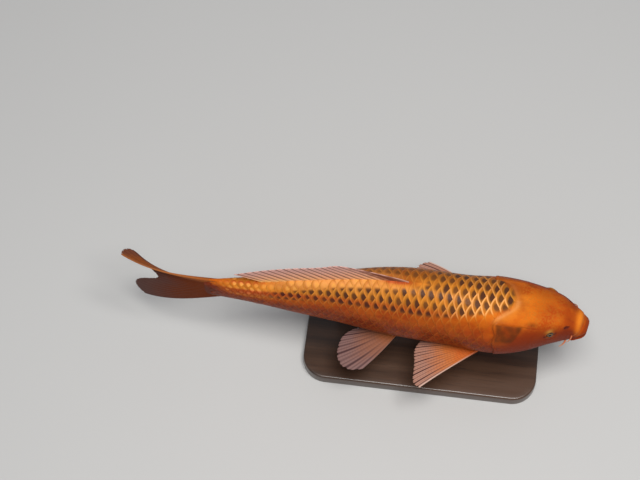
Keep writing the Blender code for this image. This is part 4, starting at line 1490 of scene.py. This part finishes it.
def pelvic_fin(form: FishForm, side: Side, bow: float, angles: Stations) -> Fin:
    """A pelvic fin under the belly: side, turn along the rays in degrees, and the rays' angles."""
    sign = side.value
    base_front, base_rear = (0.490, sign * 0.030, -0.104), (0.520, sign * 0.018, -0.108)
    return Fin(form, f"pelvic_{side.word}", 9, base_front, base_rear, (0.0, sign * 1.0, -0.06),
               angles=angles,
               lengths=((0.0, 0.156), (0.12, 0.180), (0.25, 0.190), (0.6, 0.164), (0.85, 0.132),
                        (1.0, 0.100)),
               slot="paired_fin", nodes=(f"pelvic_fin_{side.word}",), bow=bow,
               cup=((0.0, -sign * 0.008), (1.0, -sign * 0.008)), thickness=0.0032, per_ray=16, rows=56,
               web_start=0.28, unevenness=0.28, lead_reach=0.05)


def paired_fins(form: FishForm) -> Sequence[Fin]:
    """Both pectoral and both pelvic fins, the right ones spread and the left ones turned further back."""
    return [
        pectoral_fin(form, Side.RIGHT, front=0.266, rise=-0.10, bow=0, cup=0.012,
                     angles=((0.0, 42), (0.5, 24), (1.0, 7)),
                     lengths=((0.0, 0.204), (0.12, 0.209), (0.25, 0.198), (0.5, 0.175), (0.75, 0.161),
                              (1.0, 0.136))),
        pectoral_fin(form, Side.LEFT, front=0.262, rise=0.055, bow=-14, cup=0.004,
                     angles=((0.0, 43), (0.5, 26), (1.0, 10)),
                     lengths=((0.0, 0.204), (0.12, 0.216), (0.25, 0.214), (0.5, 0.192), (0.75, 0.168),
                              (1.0, 0.136))),
        pelvic_fin(form, Side.RIGHT, bow=-8, angles=((0.0, 60), (0.5, 36), (1.0, 20))),
        pelvic_fin(form, Side.LEFT, bow=-4, angles=((0.0, 34), (0.5, 20), (1.0, 8))),
    ]


# --------------------------------------------------------------------------- barbels and stand


@dataclass
class Barbel:
    """A feeler: a tube along a cubic Bezier curve, tapering to a round tip."""

    form: FishForm
    pair: str
    side: Side
    route: Stations
    start_radius: float
    end_radius: float
    tip_start: float = 0.95
    rings: int = 60
    around: int = 20

    def build(self, finish: bpy.types.Material) -> None:
        """Circles square to the curve; their radii taper and close as a quarter circle at the tip."""
        run = np.linspace(0.0, 1.0, self.rings)
        control = np.array([self.form.place(t, self.side.value * y, z) for t, y, z in self.route])
        rest = 1 - run
        weights = stacked(rest**3, 3 * run * rest**2, 3 * run**2 * rest, run**3)
        line = weights @ control
        along = unit(np.gradient(line, axis=0))
        first = unit(np.cross(along, np.array([0.0, 0.0, 1.0])))
        second = np.cross(along, first)
        past = np.clip((run - self.tip_start) / (1.0 - self.tip_start), 0, 1)
        close = np.sqrt(np.clip(1.0 - past**2, 1e-4, 1.0))
        radius = (self.start_radius + (self.end_radius - self.start_radius) * run) * close
        turn = full_turn(self.around)[None, :, None]
        circle = np.cos(turn) * first[:, None] + np.sin(turn) * second[:, None]
        points = line[:, None] + radius[:, None, None] * circle
        node = f"{self.pair}_{self.side.word}"
        piece = make_rings(f"{node}_feeler", points, finish, {"run": np.repeat(run, self.around)})
        dress(piece, "barbel", node)


def all_barbels(form: FishForm) -> Sequence[Barbel]:
    """A short pair on the upper lip and a long pair at the mouth's corners."""
    pairs = {
        "barbel_lip": (((0.040, 0.034, 0.004), (0.036, 0.046, 0.006), (0.040, 0.053, 0.002),
                        (0.049, 0.057, -0.006)), 0.0010, 0.00045),
        "barbel_corner": (((0.052, 0.036, -0.020), (0.050, 0.049, -0.022), (0.056, 0.057, -0.027),
                           (0.068, 0.060, -0.036)), 0.0014, 0.00055),
    }
    return [Barbel(form, pair, side, *shape) for pair, shape in pairs.items() for side in Side]


@dataclass
class Stand:
    """A flat wooden base with round corners and two turned rods, each cupped and padded to the belly.

    Lengths are in metres. The cup's heights are measured from the belly over the rod's axis.
    """

    form: FishForm
    size: Point = (0.290, 0.124, 0.016)
    corner: float = 0.030
    edge: float = 0.0025
    top_ring: float = 0.006
    gap: float = 0.0003
    rods: Tuple[Tuple[str, float], ...] = (("front", 0.325), ("rear", 0.600))
    rod_radius: float = 0.004
    foot_radius: float = 0.0095
    foot_height: float = 0.004
    foot_rounding: float = 0.001
    fillet_width: float = 0.002
    fillet_height: float = 0.003
    cup_radius: float = 0.008
    cup_start: float = -0.014
    cup_rise: float = 0.012
    wall_start: float = -0.0015
    wall_end: float = 0.006
    above_belly: float = 0.008
    cup_edge: float = 0.001
    axis_radius: float = 0.0003
    pad: float = 0.0012
    pad_gap: float = 0.0006
    pad_overlap: float = 0.0001
    pad_rings: int = 10
    around: int = 64

    def outline(self, inset: np.ndarray, corner_steps: int = 24) -> np.ndarray:
        """Rounded rectangles, one for each inset: quarter circles at the four corners."""
        turn = np.linspace(0.0, math.pi / 2, corner_steps)
        quarters = np.concatenate([turn + quarter * math.pi / 2 for quarter in range(4)])
        signs = np.repeat([(1, 1), (-1, 1), (-1, -1), (1, -1)], corner_steps, axis=0)
        hub = np.array(self.size[:2]) / 2 - self.corner
        circle = stacked(np.cos(quarters), np.sin(quarters))
        return signs * hub + circle * (self.corner - inset[:, None, None])

    def build_base(self, finish: bpy.types.Material) -> None:
        """Outlines up a profile: a small foot rounding, the side, and a round upper edge."""
        turn = np.linspace(0.0, math.pi / 2, 9)
        lower, top = self.edge * 0.5, self.size[2]
        inset = np.concatenate([lower * (1 - np.sin(turn)), self.edge * (1 - np.cos(turn)),
                                [self.edge + self.top_ring]])
        height = np.concatenate([lower * (1 - np.cos(turn)), top - self.edge * (1 - np.sin(turn)), [top]])
        outline = self.outline(inset)
        points = stacked(outline[..., 0], outline[..., 1], height[:, None])
        piece = make_rings("stand_base_wood", points, finish)
        piece.data.set_sharp_from_angle(angle=math.radians(50))
        dress(piece, "stand_wood", "stand_base")

    def under_belly(self, t: float, radius: np.ndarray) -> Coordinates:
        """Circles round a rod's axis, and the belly's height over them.

        Args:
            t: the rod's station.
            radius: the circles' radii, one row each.

        Returns:
            x and y from the axis and the belly's height, by row and turn.
        """
        turn = full_turn(self.around)
        x, y = radius * np.cos(turn), radius * np.sin(turn)
        length = self.form.standard_length
        return x, y, self.form.belly_height(t - x / length, y / length)

    def build_rod(self, word: str, t: float, steel: bpy.types.Material) -> None:
        """Foot, shaft and flared cup, turned about the rod's axis, its top cut to the belly's shape."""
        x, y, _ = self.form.place(t, 0.0, 0.0)
        belly = float(self.form.belly_height(np.array(t), np.array(0.0)))
        floor = self.size[2] + self.gap
        foot_top = floor + self.foot_height
        quarter = np.linspace(0.0, math.pi / 2, 7)
        late, early = 1 - np.cos(quarter), 1 - np.sin(quarter)
        flare = np.linspace(0.0, 1.0, 12)
        swell = (self.cup_radius - self.rod_radius) * smooth(0.0, 1.0, flare)
        wall = np.linspace(belly + self.wall_start, belly + self.wall_end, 5)
        inner = np.linspace(self.cup_radius - self.cup_edge, self.axis_radius, 7)
        profile = np.concatenate([
            [(self.axis_radius, floor), (self.foot_radius, floor)],
            stacked(self.foot_radius - self.foot_rounding * late, foot_top - self.foot_rounding * early),
            stacked(self.rod_radius + self.fillet_width * early, foot_top + self.fillet_height * late),
            stacked(self.rod_radius + swell, belly + self.cup_start + self.cup_rise * flare),
            stacked(self.cup_radius, wall),
            stacked(inner, belly + self.above_belly),
        ])
        across, side, ceiling = self.under_belly(t, profile[:, :1])
        height = np.minimum(profile[:, 1:], ceiling - (self.pad + self.pad_gap))
        points = stacked(x + across, y + side, height)
        rod = make_rings(f"stand_rod_{word}_steel", points, steel)
        rod.data.set_sharp_from_angle(angle=math.radians(40))
        dress(rod, "stand_steel", f"stand_rod_{word}")

    def build_pad(self, word: str, t: float, felt: bpy.types.Material) -> None:
        """A round pad whose two faces both follow the belly, a pad's thickness apart."""
        x, y, _ = self.form.place(t, 0.0, 0.0)
        radii = np.linspace(self.cup_radius - self.pad_gap, self.axis_radius, self.pad_rings)
        across, side, belly = self.under_belly(t, np.concatenate([radii[::-1], radii])[:, None])
        drop = np.repeat([self.pad + self.pad_gap - self.pad_overlap, self.pad_gap], self.pad_rings)
        points = stacked(x + across, y + side, belly - drop[:, None])
        dress(make_rings(f"stand_pad_{word}", points, felt), "stand_steel")

    def build(self) -> None:
        """The base, then each rod and its pad."""
        self.build_base(WoodFinish().material())
        steel, felt = SteelFinish().material(), PadFinish().material()
        for word, t in self.rods:
            self.build_rod(word, t, steel)
            self.build_pad(word, t, felt)


# --------------------------------------------------------------------------- studio


def set_up(made: bpy.types.Object, spot: Point, aim: Point) -> None:
    """Links a light or camera into the scene at the spot, facing the aim."""
    made.location = spot
    made.rotation_euler = (Vector(aim) - Vector(spot)).to_track_quat("-Z", "Y").to_euler()
    bpy.context.scene.collection.objects.link(made)


@dataclass(frozen=True)
class Lamp:
    """A square area light at a spot, facing an aim, with its size in metres and its power in watts."""

    name: str
    spot: Point
    aim: Point
    size: float
    watts: float
    colour: Colour

    def build(self) -> None:
        """Adds the light."""
        lamp = bpy.data.lights.new(self.name, "AREA")
        lamp.shape = "SQUARE"
        lamp.size = self.size
        lamp.energy = self.watts
        lamp.color = self.colour
        set_up(bpy.data.objects.new(self.name, lamp), self.spot, self.aim)


@dataclass
class Studio:
    """Floor, lights and camera: a large key from above the fish's right, a small glint, and a weak fill."""

    camera_spot: Point = (-0.01425, -0.89893, 2.14151)
    camera_aim: Point = (-0.13552, 0.05435, 0.16249)
    lens: float = 103.651
    sensor: float = 36.0
    clip_end: float = 50.0
    floor_rings: Tuple[float, ...] = (0.4, 1.0, 2.5, 7.0)
    floor_steps: int = 96
    floor_colour: Colour = (0.520, 0.515, 0.505)
    cloud_colour: Colour = (0.48, 0.475, 0.465)
    far_colour: Colour = (0.900, 0.900, 0.900)
    brightening: Span = (1.2, 3.6)
    sky_colour: Colour = (0.88, 0.92, 1.0)
    sky_strength: float = 0.26
    lamps: Tuple[Lamp, ...] = (
        Lamp("key", (0.20, -0.55, 2.35), (0.0, 0.0, 0.12), size=1.0, watts=52.0, colour=(1.0, 0.985, 0.96)),
        Lamp("glint", (0.55, -0.15, 2.1), (0.05, 0.0, 0.12), size=0.28, watts=4.0, colour=(1.0, 1.0, 1.0)),
        Lamp("fill", (-0.9, -1.7, 1.3), (0.0, 0.0, 0.12), size=1.4, watts=3.0, colour=(0.93, 0.96, 1.0)),
    )

    def build_floor(self) -> None:
        """A plain round floor at height 0, painted paler far from the stand as painted light where the lamps'
        light falls off.
        """
        nodes = Nodes("pale_floor")
        colour = nodes.lay(self.floor_colour, self.cloud_colour, nodes.noise(3.0, 4.0), 0.15)
        away = nodes.add("ShaderNodeVectorMath", {0: nodes.places()}, operation="LENGTH").outputs["Value"]
        # Painted light: the floor is paler far from the stand, where the lamps' light falls off.
        colour = nodes.lay(colour, self.far_colour, nodes.step(away, *self.brightening))
        turn = full_turn(self.floor_steps)
        radius = np.array(self.floor_rings)[:, None]
        points = stacked(radius * np.cos(turn), radius * np.sin(turn), 0.0).reshape(-1, 3)
        quads = grid_quads(len(radius), self.floor_steps, wrap=True)[:, ::-1]
        mesh = bpy.data.meshes.new("floor")
        mesh.from_pydata(points.tolist(), [], quads.tolist() + [list(range(self.floor_steps))])
        mesh.materials.append(nodes.finish(colour, 0.75))
        floor = bpy.data.objects.new("floor", mesh)
        bpy.context.scene.collection.objects.link(floor)

    def build_lights(self) -> None:
        """The lamps and a pale sky."""
        for lamp in self.lamps:
            lamp.build()
        world = bpy.data.worlds.new("studio")
        world.use_nodes = True
        sky = world.node_tree.nodes["Background"]
        sky.inputs["Color"].default_value = (*self.sky_colour, 1.0)
        sky.inputs["Strength"].default_value = self.sky_strength
        bpy.context.scene.world = world

    def build_camera(self) -> None:
        """The camera, high over the fish's right side."""
        camera = bpy.data.cameras.new("camera")
        camera.lens = self.lens
        camera.sensor_width = self.sensor
        camera.clip_end = self.clip_end
        made = bpy.data.objects.new("camera", camera)
        set_up(made, self.camera_spot, self.camera_aim)
        bpy.context.scene.camera = made

    def build(self) -> None:
        """All of it, with plain tones in the picture."""
        self.build_floor()
        self.build_lights()
        self.build_camera()
        bpy.context.scene.view_settings.view_transform = "Standard"


# --------------------------------------------------------------------------- the whole model


def build_fins(form: FishForm) -> None:
    """Every fin, in its own finish."""
    # The back and anal fins' pale, bright web is partly their own colour and partly painted light that stands
    # in for light through the thin fin.
    back = FinFinish("back_fin_web", root=(0.98, 0.54, 0.160), middle=(0.88, 0.44, 0.260),
                     margin=(0.80, 0.45, 0.380), line=(0.130, 0.040, 0.030), lead=(0.50, 0.25, 0.17),
                     root_reach=0.50, line_from=0.08, line_strength=0.80, band=(0.26, 0.09, 0.048),
                     band_reach=0.20)
    # The tail's dark red-brown web is partly its own colour and partly painted shade; the band and lead along
    # the upper rays are painted light where the curled top edge faces up, over the rays' own orange.
    tail = FinFinish("tail_fin_web", root=(0.140, 0.024, 0.005), middle=(0.150, 0.029, 0.005),
                     margin=(0.120, 0.050, 0.038), line=(0.070, 0.013, 0.005), lead=(0.34, 0.115, 0.035),
                     root_reach=0.30, band=(0.31, 0.080, 0.015), band_reach=0.26)
    breast = FinFinish("breast_fin_web", root=(0.54, 0.088, 0.010), middle=(0.52, 0.155, 0.040),
                       margin=(0.46, 0.235, 0.170), line=(0.050, 0.018, 0.018), lead=(0.62, 0.42, 0.34),
                       root_reach=0.55, line_from=0.25, line_start=0.85)
    # The belly fins darken from root to middle, partly their own colour and partly painted shade under the
    # belly.
    belly = FinFinish("belly_fin_web", root=(0.42, 0.120, 0.030), middle=(0.26, 0.105, 0.062),
                      margin=(0.220, 0.125, 0.112), line=(0.055, 0.024, 0.026), lead=(0.26, 0.16, 0.14),
                      root_reach=0.45, line_from=0.18, line_start=0.80, line_strength=0.95)
    fins = median_fins(form)
    back_web = back.material()
    fins["back"].build(back_web)
    fins["anal"].build(back_web)
    fins["tail"].build(tail.material())
    webs = {"pectoral": breast.material(), "pelvic": belly.material()}
    for fin in paired_fins(form):
        fin.build(webs[fin.name.split("_")[0]])


def build_model() -> None:
    """Skin, scales, eyes, feelers, fins and stand, in order."""
    form = FishForm()
    markings = Markings()
    colours = BodyColours()
    eyes = [Eye(form, side) for side in Side]
    Skin(form, markings, eyes).build(SkinFinish(colours).material())
    ScaleCoat(form, SkinMap(form), markings).build(ScaleFinish(colours).material())
    eye_finish = EyeFinish().material()
    for eye in eyes:
        eye.build(eye_finish)
    barbel_finish = BarbelFinish().material()
    for barbel in all_barbels(form):
        barbel.build(barbel_finish)
    build_fins(form)
    Stand(form).build()


def main() -> None:
    """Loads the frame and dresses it."""
    logging.basicConfig(level=logging.INFO, format="%(name)s: %(message)s")
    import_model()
    Studio().build()
    build_model()


if __name__ == "__main__":
    main()
